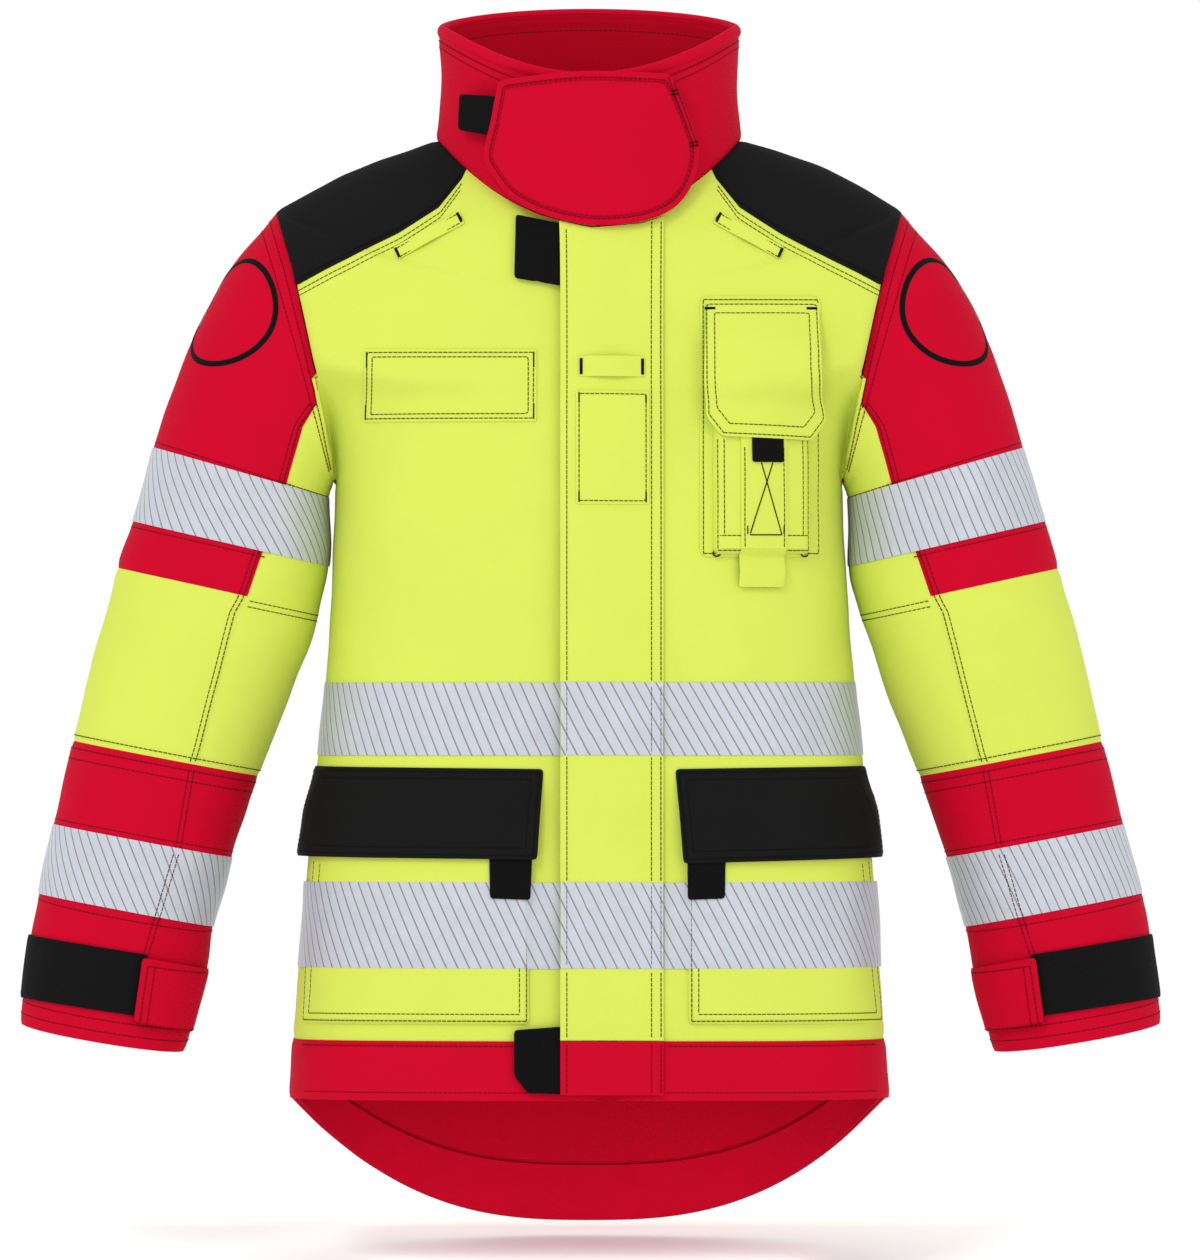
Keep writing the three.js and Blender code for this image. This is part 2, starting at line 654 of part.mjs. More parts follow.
// ---------- sleeves ----------
// Stations down the sleeve: its outer and inner points in the front view, for the wearer's left,
// and half its depth front to back. The first is the armhole.
const stations = [
  {
    outer: [shoulderHalfWidth, shoulderTipHeight],
    inner: [chestHalfWidth, underarmHeight],
    depth: armholeHalfDepth,
  },
  { outer: [280, 747], inner: [201, 572], depth: 74 },
  { outer: [306, 699], inner: [201.5, 569.5], depth: 73 },
  { outer: [324, 652], inner: [202, 568.5], depth: 72 },
  { outer: [338.5, 606.5], inner: [202.5, 567.5], depth: 71 },
  { outer: [355.5, 549], inner: [204, 514], depth: 70 },
  { outer: [368, 513], inner: [211.5, 478.5], depth: 69 },
  { outer: [386, 446], inner: [233, 414], depth: 67 },
  { outer: [402, 378], inner: [257, 350], depth: 65 },
  { outer: [417.5, 313], inner: [278, 287], depth: 64 },
  { outer: [430.5, 259], inner: [293, 233], depth: 63 },
  { outer: [438, 219], inner: [299, 196], depth: 62 },
  { outer: [445, 158], inner: [315, 136], depth: 60 },
];
const stationHeight = (i) => i / (stations.length - 1);
function sleevePoint(angle, v) {
  const at = Math.min(v * (stations.length - 1), stations.length - 1.000001);
  const low = stations[Math.floor(at)];
  const high = stations[Math.floor(at) + 1];
  const outer = [0, 1].map((k) => lerp(low.outer[k], high.outer[k], at % 1));
  const inner = [0, 1].map((k) => lerp(low.inner[k], high.inner[k], at % 1));
  const depth = lerp(low.depth, high.depth, at % 1);
  const sine = Math.sin((angle * Math.PI) / 180);
  const cosine = Math.cos((angle * Math.PI) / 180);
  const across = (1 + power(sine, 0.92)) / 2;
  const droop = at > stations.length - 4 ? 4 * cosine : 0;
  return new THREE.Vector3(
    lerp(inner[0], outer[0], across),
    -depth * power(cosine, 0.92),
    lerp(inner[1], outer[1], across) - droop,
  );
}
const armholeClear = 0.012; // share of the sleeve's length kept free at the armhole
const sleeveRows = steps(1, 0, stations.length - 1).map((v) => Math.max(v, armholeClear));
function sleeveTube(side, inner, outer) {
  const tube = sheet(sleevePoint, steps(0, 360, 16), sleeveRows, inner, outer, true);
  return side > 0 ? tube : tube.mirror([1, 0, 0]);
}
// A line across the sleeve through a station, continued past both sides.
function lineAt(i, shift = 0) {
  const { outer, inner } = stations[i];
  const direction = [outer[0] - inner[0], outer[1] - inner[1]];
  const length = Math.hypot(...direction);
  const unit = direction.map((value) => value / length);
  const down = [unit[1] * shift, -unit[0] * shift];
  return [
    [outer[0] + unit[0] * 60 + down[0], outer[1] + unit[1] * 60 + down[1]],
    [inner[0] - unit[0] * 20 + down[0], inner[1] - unit[1] * 20 + down[1]],
  ];
}
function between(i, j, shiftI = 0, shiftJ = 0) {
  const [outerHigh, innerHigh] = lineAt(i, shiftI);
  const [outerLow, innerLow] = lineAt(j, shiftJ);
  return [outerHigh, innerHigh, innerLow, outerLow];
}
// The sleeve's front seam, from the armhole to the red wrist: what lies inside it is the under-sleeve.
const sleeveSeam = [
  [211.5, 640],
  [222, 622],
  [234, 579],
  [250, 534],
  [266, 489],
  [272, 478],
  [300, 370],
];
const innerSide = (shift) =>
  sleeveSeam.map(([x, z]) => [x + shift, z]).concat([
    [150, 330],
    [150, 700],
    [205, 700],
  ]);

function sleeve(side, word) {
  const turned = (outline) => (side > 0 ? outline : mirrored(outline));
  const cut = (solid, outline, y0 = -400, y1 = 400) => solid.intersect(prism(turned(outline), y0, y1));
  const tube = sleeveTube(side, -shellThickness, 0);
  const over = tube.subtract(prism(turned(innerSide(seam))));
  const under = cut(tube, innerSide(0));
  const upper = [[140, 830], [330, 830], lineAt(6)[0], lineAt(6)[1]];
  add("sleeve_cap_" + word, largest(cut(over, [...upper].reverse())), "red");
  add("sleeve_forearm_" + word, largest(cut(over, between(6, 8, seam, -seam))), "yellow");
  const underOutline = [[140, 830], [330, 830], ...lineAt(8, -seam)].reverse();
  add("sleeve_under_" + word, largest(cut(under, underOutline)), "yellow");
  add("sleeve_wrist_" + word, largest(cut(tube, between(8, 12, 0, 40))), "red");
  const tape = sleeveTube(side, tapeInner, tapeOuter);
  add("tape_arm_" + word, largest(cut(tape, between(4, 5))), "silver");
  add("tape_wrist_" + word, largest(cut(tape, between(9, 10))), "silver");

  const patchInner = layerGap;
  const patchOuter = patchInner + 2;
  const strapLayer = sleeveTube(side, patchInner, patchOuter);
  const [patchA, patchB] = [
    [344, 212],
    [351, 164],
  ];
  const patchOutline = [patchA, patchB, [470, 182], [470, 232]];
  add("cuff_patch_" + word, largest(cut(strapLayer, patchOutline, -400, 12)), "fastener");
  const tabLayer = sleeveTube(side, patchOuter + 0.5, patchOuter + 0.5 + flapThickness);
  const tabOutline = [
    [348, 210],
    [280, 197],
    [280, 146],
    [355, 160],
  ];
  add("cuff_tab_" + word, largest(cut(tabLayer, tabOutline, -400, 0)), "red");
}
sleeve(-1, "right");
sleeve(1, "left");

coat.position.set(0, -(loopSeatY - loopGap - 1.4 / 2 - 2.6), -loopZ);

export default coat;
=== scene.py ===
import math

import bmesh
import bpy
import numpy as np
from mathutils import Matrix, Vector, kdtree


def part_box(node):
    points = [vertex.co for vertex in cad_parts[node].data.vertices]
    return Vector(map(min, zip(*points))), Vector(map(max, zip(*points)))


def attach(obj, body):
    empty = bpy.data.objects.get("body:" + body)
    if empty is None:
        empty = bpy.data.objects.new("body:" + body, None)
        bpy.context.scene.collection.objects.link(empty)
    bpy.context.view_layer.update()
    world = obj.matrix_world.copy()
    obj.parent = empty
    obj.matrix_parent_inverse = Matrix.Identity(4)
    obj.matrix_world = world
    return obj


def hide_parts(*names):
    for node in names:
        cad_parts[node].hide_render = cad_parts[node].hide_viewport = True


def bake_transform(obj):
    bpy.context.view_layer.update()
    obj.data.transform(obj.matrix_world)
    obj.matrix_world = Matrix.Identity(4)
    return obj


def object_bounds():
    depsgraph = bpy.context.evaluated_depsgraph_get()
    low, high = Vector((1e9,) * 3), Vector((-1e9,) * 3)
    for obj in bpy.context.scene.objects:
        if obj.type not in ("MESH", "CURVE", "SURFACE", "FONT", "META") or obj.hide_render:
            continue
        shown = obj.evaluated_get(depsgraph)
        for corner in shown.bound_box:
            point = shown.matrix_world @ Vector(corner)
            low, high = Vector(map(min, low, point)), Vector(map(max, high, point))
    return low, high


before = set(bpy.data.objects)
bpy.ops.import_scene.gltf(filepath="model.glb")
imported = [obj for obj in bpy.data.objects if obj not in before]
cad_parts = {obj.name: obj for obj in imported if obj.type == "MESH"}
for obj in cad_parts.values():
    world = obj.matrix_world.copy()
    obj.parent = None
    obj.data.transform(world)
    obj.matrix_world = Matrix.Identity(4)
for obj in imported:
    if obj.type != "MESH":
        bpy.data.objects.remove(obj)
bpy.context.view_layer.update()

# The coat is laid out in millimetres from the tail's lowest point and the side seams,
# then moved to the frame.
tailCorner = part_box("tail_panel")[0]
coatOrigin = np.array([0.0, float(tailCorner[1]) - 0.0003, float(tailCorner[2])])
detail = 1.0


def toFrame(points):
    return np.asarray(points, float) / 1000 + coatOrigin


def lerp(a, b, t):
    return a + (b - a) * t


def smooth(t):
    t = np.clip(t, 0, 1)
    return t * t * (3 - 2 * t)


def power(value, exponent):
    return np.sign(value) * np.abs(value) ** exponent


# Distance run along a line of points, from 0 at its start.
def runLength(points):
    steps = np.linalg.norm(np.diff(points, axis=0), axis=1)
    return np.concatenate([[0], np.cumsum(steps)])


# materials
colours = {
    "yellow": "#c7d553",
    "red": "#bb0024",
    "darkRed": "#b3001d",
    "black": "#131313",
    "fastener": "#0b0b0c",
    "tape": "#b6bdc8",
    "tapeLine": "#8d7c70",
    "olive": "#3f4610",
    "redThread": "#5c0410",
    "blackThread": "#050505",
    "metal": "#8f9296",
    "floor": "#ffffff",
}


def linear(hexColour):
    channels = [int(hexColour[i : i + 2], 16) / 255 for i in (1, 3, 5)]
    return [c / 12.92 if c <= 0.04045 else ((c + 0.055) / 1.055) ** 2.4 for c in channels] + [1.0]


def addNode(tree, kind, settings=None, links=None):
    node = tree.nodes.new(kind)
    for name, value in (settings or {}).items():
        if isinstance(name, int) or name in node.inputs:
            node.inputs[name].default_value = value
        else:
            setattr(node, name, value)
    for name, source in (links or {}).items():
        tree.links.new(source, node.inputs[name])
    return node


def newMaterial(name):
    material = bpy.data.materials.new(name)
    material.use_nodes = True
    tree = material.node_tree
    shader = next(n for n in tree.nodes if n.type == "BSDF_PRINCIPLED")
    coords = addNode(tree, "ShaderNodeTexCoord").outputs["Object"]
    return material, tree, shader, coords


def shade(colour, factor):
    return [min(1.0, c * factor) for c in colour[:3]] + [1.0]


def noise(tree, coords, scale, layers, roughness=0.5):
    settings = {"Scale": scale, "Detail": layers, "Roughness": roughness}
    return addNode(tree, "ShaderNodeTexNoise", settings, {"Vector": coords}).outputs["Fac"]


def calculated(tree, operation, source, number, third=None):
    links = {0: source} if third is None else {0: source, 2: third}
    return addNode(tree, "ShaderNodeMath", {"operation": operation, 1: number}, links).outputs[0]


# first is a colour or another node's output
def mixed(tree, first, second, factor):
    settings, links = {"data_type": "RGBA", 7: second}, {0: factor}
    (settings if isinstance(first, list) else links)[6] = first
    return addNode(tree, "ShaderNodeMix", settings, links).outputs[2]


def surfaced(tree, shader, height, strength, distance, values):
    raised = addNode(
        tree, "ShaderNodeBump", {"Strength": strength, "Distance": distance}, {"Height": height}
    )
    tree.links.new(raised.outputs["Normal"], shader.inputs["Normal"])
    for name, value in values.items():
        shader.inputs[name].default_value = value


# A 2/1 twill: fine diagonal ribs, and a slow mottle that is lighter where the cloth has rubbed.
def twill(name, hexColour, rib=0.0011, roughness=0.85, mottle=0.05, specular=0.08, bump=0.35):
    material, tree, shader, coords = newMaterial(name)
    turned = addNode(
        tree, "ShaderNodeMapping", {"Rotation": (0.0, math.radians(52), 0.0)}, {"Vector": coords}
    )
    ribs = addNode(
        tree,
        "ShaderNodeTexWave",
        {"Scale": 1 / rib / 6.4, "Distortion": 0.6, "Detail": 1.0, "Detail Scale": 2.0},
        {"Vector": turned.outputs["Vector"]},
    )
    colour = linear(hexColour)
    rubbed = noise(tree, coords, 14.0, 5.0, 0.62)
    tone = mixed(tree, shade(colour, 1 - mottle * 1.6), shade(colour, 1 + mottle), rubbed)
    tree.links.new(tone, shader.inputs["Base Color"])
    grain = noise(tree, coords, 900.0, 1.0)
    height = calculated(tree, "MULTIPLY_ADD", ribs.outputs["Fac"], 0.5, grain)
    values = {"Roughness": roughness, "Specular IOR Level": specular}
    surfaced(tree, shader, height, bump, 0.00025, values)
    return material


# Segmented film: thin slanted gaps show the ground between the silver segments.
def segmentedTape(name, hexColour, lineColour, pitch=0.0086, gap=0.0013, lean=0.49):
    material, tree, shader, coords = newMaterial(name)
    uv = addNode(tree, "ShaderNodeUVMap", {"uv_map": "flat"}).outputs["UV"]
    parts = addNode(tree, "ShaderNodeSeparateXYZ", {}, {0: uv}).outputs
    slant = calculated(tree, "MULTIPLY_ADD", parts["Y"], lean, parts["X"])
    wrapped = calculated(tree, "PINGPONG", slant, pitch / 2)
    inGap = calculated(tree, "LESS_THAN", wrapped, gap / 2)
    colour = linear(hexColour)
    glitter = noise(tree, coords, 60.0, 6.0, 0.7)
    silver = mixed(tree, shade(colour, 0.86), shade(colour, 1.1), glitter)
    shown = mixed(tree, silver, linear(lineColour), inGap)
    tree.links.new(shown, shader.inputs["Base Color"])
    edge = calculated(tree, "MINIMUM", wrapped, 0.0016)
    values = {"Roughness": 0.42, "Metallic": 0.15, "Specular IOR Level": 0.5}
    surfaced(tree, shader, edge, 0.5, 0.3, values)
    return material


# Loop pile: a short dense fuzz that swallows light.
def pile(name, hexColour):
    material, tree, shader, coords = newMaterial(name)
    colour = linear(hexColour)
    fuzz = noise(tree, coords, 700.0, 3.0, 0.8)
    tone = mixed(tree, shade(colour, 0.45), shade(colour, 2.0), fuzz)
    tree.links.new(tone, shader.inputs["Base Color"])
    surfaced(tree, shader, fuzz, 0.8, 0.0006, {"Roughness": 0.95, "Specular IOR Level": 0.12})
    return material


def plain(name, hexColour, roughness, metallic=0.0, specular=0.1):
    material, tree, shader, coords = newMaterial(name)
    values = {
        "Base Color": linear(hexColour),
        "Roughness": roughness,
        "Metallic": metallic,
        "Specular IOR Level": specular,
    }
    surfaced(tree, shader, noise(tree, coords, 900.0, 2.0), 0.15, 0.0001, values)
    return material


cloth = {
    "yellow": twill("fluorescent aramid twill", colours["yellow"], mottle=0.03, specular=0.15),
    "red": twill("red aramid twill", colours["red"]),
    "darkRed": twill("red woven lining", colours["darkRed"]),
    "black": twill("black coated twill", colours["black"], rib=0.0014, mottle=0.1),
    "fastener": pile("hook and loop pile", colours["fastener"]),
    "webbing": twill("black webbing", colours["fastener"], rib=0.0018, bump=0.8),
    "tape": segmentedTape("segmented reflective film", colours["tape"], colours["tapeLine"]),
    "olive": plain("olive sewing thread", colours["olive"], 0.7),
    "redThread": plain("red sewing thread", colours["redThread"], 0.7),
    "blackThread": plain("black sewing thread", colours["blackThread"], 0.7),
    "metal": plain("satin zip metal", colours["metal"], 0.32, 1.0, 0.5),
    "zip": plain("moulded zip chain", colours["black"], 0.45, 0.0, 0.4),
}

# the body's surface, the same as the solid model's, with curves between its levels
body = {
    "hemHalfWidth": 234,
    "waistHalfWidth": 208,
    "chestHalfWidth": 198,
    "hemHeight": 100,
    "hemDepth": 138,
    "underarm": 577,
    "shoulderHalfWidth": 245,
    "shoulderHeight": 790,
    "neckHalfWidth": 118,
    "neckFrontHeight": 780,
    "neckFrontDepth": 98,
    "neckBackDepth": 84,
    "armholeHalfDepth": 74,
    "zipX": 14,
}
slope = math.atan(
    (body["hemDepth"] - body["neckFrontDepth"]) / (body["neckFrontHeight"] - body["hemHeight"])
)
hemW, waistW, chestW = body["hemHalfWidth"], body["waistHalfWidth"], body["chestHalfWidth"]
# half width, side, front and back heights, back depth, squareness
levels = np.array(
    [
        (hemW, 100, 100, 0, 132, 2.7),
        (lerp(hemW, waistW, 0.35), 225, 225, 180, 131, 2.7),
        (lerp(hemW, waistW, 0.75), 350, 350, 330, 130, 2.7),
        (lerp(waistW, chestW, 0.35), 450, 450, 440, 128, 2.6),
        (chestW, 577, 577, 577, 128, 2.5),
        (chestW + 7, 625, 617, 625, 128, 2.5),
        (chestW + 19, 684, 660, 690, 124, 2.4),
        (chestW + 33, 745, 702, 755, 116, 2.3),
        (body["shoulderHalfWidth"], 790, 733, 800, 105, 2.2),
        (lerp(body["shoulderHalfWidth"], body["neckHalfWidth"], 0.45), 822, 758, 836, 94, 2.1),
        (body["neckHalfWidth"], 846, 780, 862, 84, 2.0),
    ],
    float,
)
top = len(levels) - 1


def curveThrough(values, corners=()):  # corners: level and column pairs
    values = np.asarray(values, float)
    steps = np.diff(values, axis=0)
    slopes = np.zeros_like(values)
    for i in range(1, len(values) - 1):
        a, b = steps[i - 1], steps[i]
        slopes[i] = np.where(a * b > 0, 2 * a * b / np.where(a + b == 0, 1, a + b), 0)
    slopes[0], slopes[-1] = steps[0], steps[-1]
    left, right = slopes.copy(), slopes.copy()
    for i, column in corners:
        left[i, column], right[i, column] = steps[i - 1, column], steps[i, column]

    def at(t):
        t = np.clip(np.asarray(t, float), 0, len(values) - 1)
        i = np.minimum(t.astype(int), len(values) - 2)
        f = (t - i)[:, None]
        h00, h10 = 2 * f**3 - 3 * f**2 + 1, f**3 - 2 * f**2 + f
        h01, h11 = -2 * f**3 + 3 * f**2, f**3 - f**2
        return h00 * values[i] + h10 * right[i] + h01 * values[i + 1] + h11 * left[i + 1]

    return at


levelAt = curveThrough(levels, corners=[(8, 0)])


def frontDepth(height):
    return body["hemDepth"] - (height - body["hemHeight"]) * math.tan(slope)


def bodySurface(front):
    def at(angle, v):
        width, side, ahead, back, depth, square = levelAt(v * top).T
        sine = np.sin(np.radians(angle))
        cosine = np.cos(np.radians(angle))
        along = 2 * (side - body["underarm"]) / (body["shoulderHeight"] - body["underarm"]) - 1
        edge = body["armholeHalfDepth"] * np.sqrt(np.clip(1 - along**2, 0, 1))
        middle = ahead if front else back
        reach = frontDepth(ahead) if front else depth
        bow = np.abs(cosine) ** (2 / square)
        # just above the underarm the armhole's opening only reaches the cloth close to the side
        near = 1 + 7 * (1 - smooth((side - body["underarm"]) / 100))
        out = reach * bow + edge * np.clip(1 - bow, 0, 1) ** near
        return np.stack(
            [
                width * power(sine, 2 / square),
                -out if front else out,
                side + (middle - side) * cosine**2,
            ],
            1,
        )

    return at


frontAt = bodySurface(True)
backAt = bodySurface(False)


def evenSteps(low, high, gap):
    count = max(2, int(round(abs(high - low) / gap * detail)))
    return np.linspace(low, high, count + 1)


# Parameter values that are evenly spaced over the surface, measured along one line across it.
def evenAngles(at, low, high, gap, v):
    fine = np.linspace(low, high, 600)
    points = at(fine, np.full(600, v))
    length = runLength(points)
    count = max(3, int(round(length[-1] / gap * detail)))
    return np.interp(np.linspace(0, length[-1], count + 1), length, fine)


# folds: one relief for every layer, so that layers stay apart
folds = {"broad": 2.0, "fine": 0.35, "sleeve": 2.2}


def armholeFade(points):
    width = np.interp(points[:, 2], levels[4:9, 1], levels[4:9, 0])
    near = smooth((width - np.abs(points[:, 0])) / 26)
    return np.where(points[:, 2] > 560, lerp(near, 1, smooth((600 - points[:, 2]) / 40)), 1.0)


def bodyRelief(points):
    x, y, z = points.T
    hang = np.sin(x / 29 + 1.3 * np.sin(z / 110 + 0.7) + y / 83)
    slow = np.sin(z / 71 + x / 120 + 1.1 * np.sin(x / 63 - 0.4))
    low = smooth((620 - z) / 420)
    high = smooth((z - 560) / 120)
    drag = np.sin((x * np.sign(x) * 0.9 + z) / 24 + 0.8 * np.sin(x / 41))
    fine = np.sin(x / 8.3 + np.sin(z / 19)) * np.sin(z / 11.5 + np.sin(x / 23 + 2))
    height = folds["broad"] * (0.75 * low * hang + 0.55 * slow * (0.4 + 0.6 * low))
    height += folds["broad"] * 0.5 * high * drag * smooth((np.abs(x) - 90) / 90)
    return (height + folds["fine"] * fine) * armholeFade(points)


# building a piece of cloth
allPieces = {}
flatSizes = {}
# how far round an outline the grid is built, and how far round each edge it is cut
outlineMargin = {"grid": 14, "cut": 9}


def inside(outline, points):
    x, z = points[:, 0], points[:, 1]
    result = np.zeros(len(points), bool)
    for (x0, z0), (x1, z1) in zip(outline, outline[1:] + outline[:1]):
        crosses = (z0 > z) != (z1 > z)
        at = x0 + (z - z0) * (x1 - x0) / ((z1 - z0) or 1e-9)
        result ^= crosses & (x < at)
    return result


# The cloth's grid over a surface, cut to an outline drawn in the front view.
def cutGrid(at, us, vs, outline=None):
    gridU, gridV = [g.ravel() for g in np.meshgrid(us, vs)]
    points = at(gridU, gridV)
    mesh = bmesh.new()
    layerU = mesh.verts.layers.float.new("u")
    layerV = mesh.verts.layers.float.new("v")
    if outline:
        low = np.min(outline, axis=0) - outlineMargin["grid"]
        high = np.max(outline, axis=0) + outlineMargin["grid"]
        built = np.all((points[:, [0, 2]] > low) & (points[:, [0, 2]] < high), axis=1)
    else:
        built = np.ones(len(points), bool)
    columns = len(us)
    made = {}

    def vertex(i):
        if i not in made:
            made[i] = mesh.verts.new(points[i])
            made[i][layerU], made[i][layerV] = gridU[i], gridV[i]
        return made[i]

    for j in range(len(vs) - 1):
        for i in range(columns - 1):
            ids = (
                j * columns + i,
                j * columns + i + 1,
                (j + 1) * columns + i + 1,
                (j + 1) * columns + i,
            )
            if built[list(ids)].any():
                mesh.faces.new([vertex(k) for k in ids])
    if outline:
        for (x0, z0), (x1, z1) in zip(outline, outline[1:] + outline[:1]):
            lowX, highX = min(x0, x1) - outlineMargin["cut"], max(x0, x1) + outlineMargin["cut"]
            lowZ, highZ = min(z0, z1) - outlineMargin["cut"], max(z0, z1) + outlineMargin["cut"]
            faces = []
            for face in mesh.faces:
                c = face.verts[0].co
                if lowX < c.x < highX and lowZ < c.z < highZ:
                    faces.append(face)
            parts = set(faces)
            for face in faces:
                parts.update(face.edges)
                parts.update(face.verts)
            bmesh.ops.bisect_plane(
                mesh,
                geom=list(parts),
                dist=0.02,
                plane_co=(x0, 0, z0),
                plane_no=(z1 - z0, 0, x0 - x1),
            )
        mesh.faces.ensure_lookup_table()
        centres = np.array([f.calc_center_median() for f in mesh.faces])
        kept = inside(outline, centres[:, [0, 2]])
        bmesh.ops.delete(
            mesh, geom=[f for f, keep in zip(list(mesh.faces), kept) if not keep], context="FACES"
        )
    bmesh.ops.delete(mesh, geom=[v for v in mesh.verts if not v.link_faces], context="VERTS")
    mesh.verts.index_update()
    us = np.array([v[layerU] for v in mesh.verts])
    vs = np.array([v[layerV] for v in mesh.verts])
    faces = [[v.index for v in f.verts] for f in mesh.faces]
    area = sum(f.calc_area() for f in mesh.faces)
    mesh.free()
    return us, vs, faces, area


def normalsOf(at, us, vs, limits):
    (uLow, uHigh), (vLow, vHigh) = limits
    du, dv = (uHigh - uLow) * 2e-4, (vHigh - vLow) * 2e-4
    along = at(np.minimum(us + du, uHigh), vs) - at(np.maximum(us - du, uLow), vs)
    up = at(us, np.minimum(vs + dv, vHigh)) - at(us, np.maximum(vs - dv, vLow))
    normal = np.cross(along, up)
    length = np.linalg.norm(normal, axis=1, keepdims=True)
    return normal / np.where(length < 1e-12, 1, length)


def rimOf(faces):
    seen = {}
    for face in faces:
        for a, b in zip(face, face[1:] + face[:1]):
            seen[(a, b)] = True
    return [(a, b) for a, b in seen if (b, a) not in seen]


def distanceToRim(points, rim):
    samples = []
    for a, b in rim:
        for share in (0, 0.34, 0.67):
            samples.append(points[a] * (1 - share) + points[b] * share)
    tree = kdtree.KDTree(len(samples))
    for i, sample in enumerate(samples):
        tree.insert(sample, i)
    tree.balance()
    return np.array([tree.find(p)[2] for p in points])


# One patch of cloth as a closed solid.
# lift gives the outer face's height over the surface, in millimetres.
def clothPatch(
    at,
    us,
    vs,
    outline=None,
    lift=0.0,
    thickness=3.0,
    dip=1.1,
    dipWidth=3.5,
    relief=bodyRelief,
    limits=None,
    flat=None,
):
    u, v, faces, area = cutGrid(at, us, vs, outline)
    limits = limits or ((min(us), max(us)), (min(vs), max(vs)))
    points = at(u, v)
    normals = normalsOf(at, u, v, limits)
    rim = rimOf(faces)
    distance = distanceToRim(points, rim)
    height = lift(points, distance, u, v) if callable(lift) else np.full(len(points), float(lift))
    deep = thickness(points, distance, u, v) if callable(thickness) else thickness
    seam = dip * np.exp(-((distance / dipWidth) ** 2))
    height = height + relief(points) - seam
    outer = points + normals * height[:, None]
    # the inner face keeps its own level where the outer one dips at a seam
    inner = points + normals * (height - deep)[:, None] + normals * seam[:, None] * 0.6
    count = len(points)
    everyFace = [list(face) for face in faces]
    everyFace += [[i + count for i in face[::-1]] for face in faces]
    everyFace += [[b, a, a + count, b + count] for a, b in rim]
    inSide = [0] * len(faces) + [1] * len(faces) + [0] * len(rim)
    uv = flat(points, u, v) if flat else points[:, [0, 2]]
    return {
        "points": np.concatenate([outer, inner]),
        "faces": everyFace,
        "uv": np.concatenate([uv, uv]),
        "inSide": inSide,
        "area": area,
    }


# A patch without cloth coordinates of its own.
def solidPatch(points, faces, area=0.0):
    return {
        "points": np.array(points),
        "faces": faces,
        "uv": np.zeros((len(points), 2)),
        "inSide": [0] * len(faces),
        "area": area,
    }


def mirroredPatch(patch):
    return {
        **patch,
        "points": patch["points"] * np.array([-1, 1, 1]),
        "faces": [face[::-1] for face in patch["faces"]],
        "uv": patch["uv"] * np.array([-1, 1]),
    }


def makeObject(name, patches, materials, sharp=48):
    points = np.concatenate([p["points"] for p in patches])
    faces, uv, index = [], [], []
    start = 0
    for patch in patches:
        faces += [[i + start for i in face] for face in patch["faces"]]
        uv.append(patch["uv"])
        index += list(patch["inSide"])
        start += len(patch["points"])
    uv = np.concatenate(uv) / 1000
    mesh = bpy.data.meshes.new(name)
    mesh.from_pydata([tuple(p) for p in toFrame(points)], [], faces)
    layer = mesh.uv_layers.new(name="flat")
    loops = np.zeros(len(mesh.loops), np.int32)
    mesh.loops.foreach_get("vertex_index", loops)
    layer.data.foreach_set("uv", uv[loops].astype(np.float32).ravel())
    for material in materials:
        mesh.materials.append(cloth[material])
    mesh.polygons.foreach_set("use_smooth", [True] * len(mesh.polygons))
    if len(materials) > 1:
        mesh.polygons.foreach_set("material_index", [min(i, len(materials) - 1) for i in index])
    mesh.set_sharp_from_angle(angle=math.radians(sharp))
    mesh.validate()
    made = bpy.data.objects.new(name, mesh)
    bpy.context.scene.collection.objects.link(made)
    allPieces[name] = made
    return made


sleeveBlend = {"from": 0.0, "to": 100.0}
armholeOut = np.array([0.977, 0.0, -0.2155])  # across the armhole, outwards


def joinUp(made, bodyName, nodes=(), hinge=None):
    if hinge:
        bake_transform(made)
    else:
        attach(made, bodyName)
    if nodes:
        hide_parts(*nodes)
    return made


def sleeveHinge(side):
    start = np.array([side * 245.0, 0, 790.0])
    out = armholeOut * np.array([side, 1, 1])
    return ("coat", start + out * sleeveBlend["from"], start + out * sleeveBlend["to"])


# A piece of cloth in the coat: built, fastened to its body unless a hinge is given (then its transform is
# only baked in), and its flat size noted for printing when it is a sheet.
# It stands for the node of its own name unless nodes says otherwise.
def clothPiece(name, patches, materials, bodyName="coat", hinge=None, nodes=None, sheet=True):
    made = makeObject(f"cloth.{name}", patches, materials)
    joinUp(made, bodyName, [name] if nodes is None else nodes, hinge)
    if sheet:
        area = sum(p["area"] for p in patches) / 1e6
        length = max(made.dimensions)
        flatSizes[made.name] = (max(0.01, round(area / length, 3)), round(length, 3))
    return made


# stitches, bartacks and cords on a surface; satin is the close stitch of bartacks and cords
stitchSize = {"length": 3.1, "pitch": 3.9, "width": 0.85, "height": 0.3}
satin = {"length": 2.4, "pitch": 2.0, "rise": 1.6}
sewn = {}


def resample(points, pitch):
    points = np.asarray(points, float)
    length = runLength(points)
    count = max(2, int(length[-1] / pitch) + 1)
    at = np.linspace(0, length[-1], count)
    return np.stack([np.interp(at, length, points[:, k]) for k in range(points.shape[1])], 1)


def addBars(key, starts, ends, normals, width, height):
    points, faces = sewn.setdefault(key, ([], []))
    along = ends - starts
    along /= np.maximum(np.linalg.norm(along, axis=1, keepdims=True), 1e-9)
    across = np.cross(normals, along)
    for s, e, a, n in zip(starts, ends, across, normals):
        base = len(points)
        half = a * width / 2
        for p in (s, e):
            points.append(p - half)
            points.append(p + half)
            points.append(p + half * 0.5 + n * height)
            points.append(p - half * 0.5 + n * height)
        for quad in ((0, 1, 2, 3), (7, 6, 5, 4), (1, 5, 6, 2), (2, 6, 7, 3), (3, 7, 4, 0), (0, 4, 5, 1)):
            faces.append([base + k for k in quad])


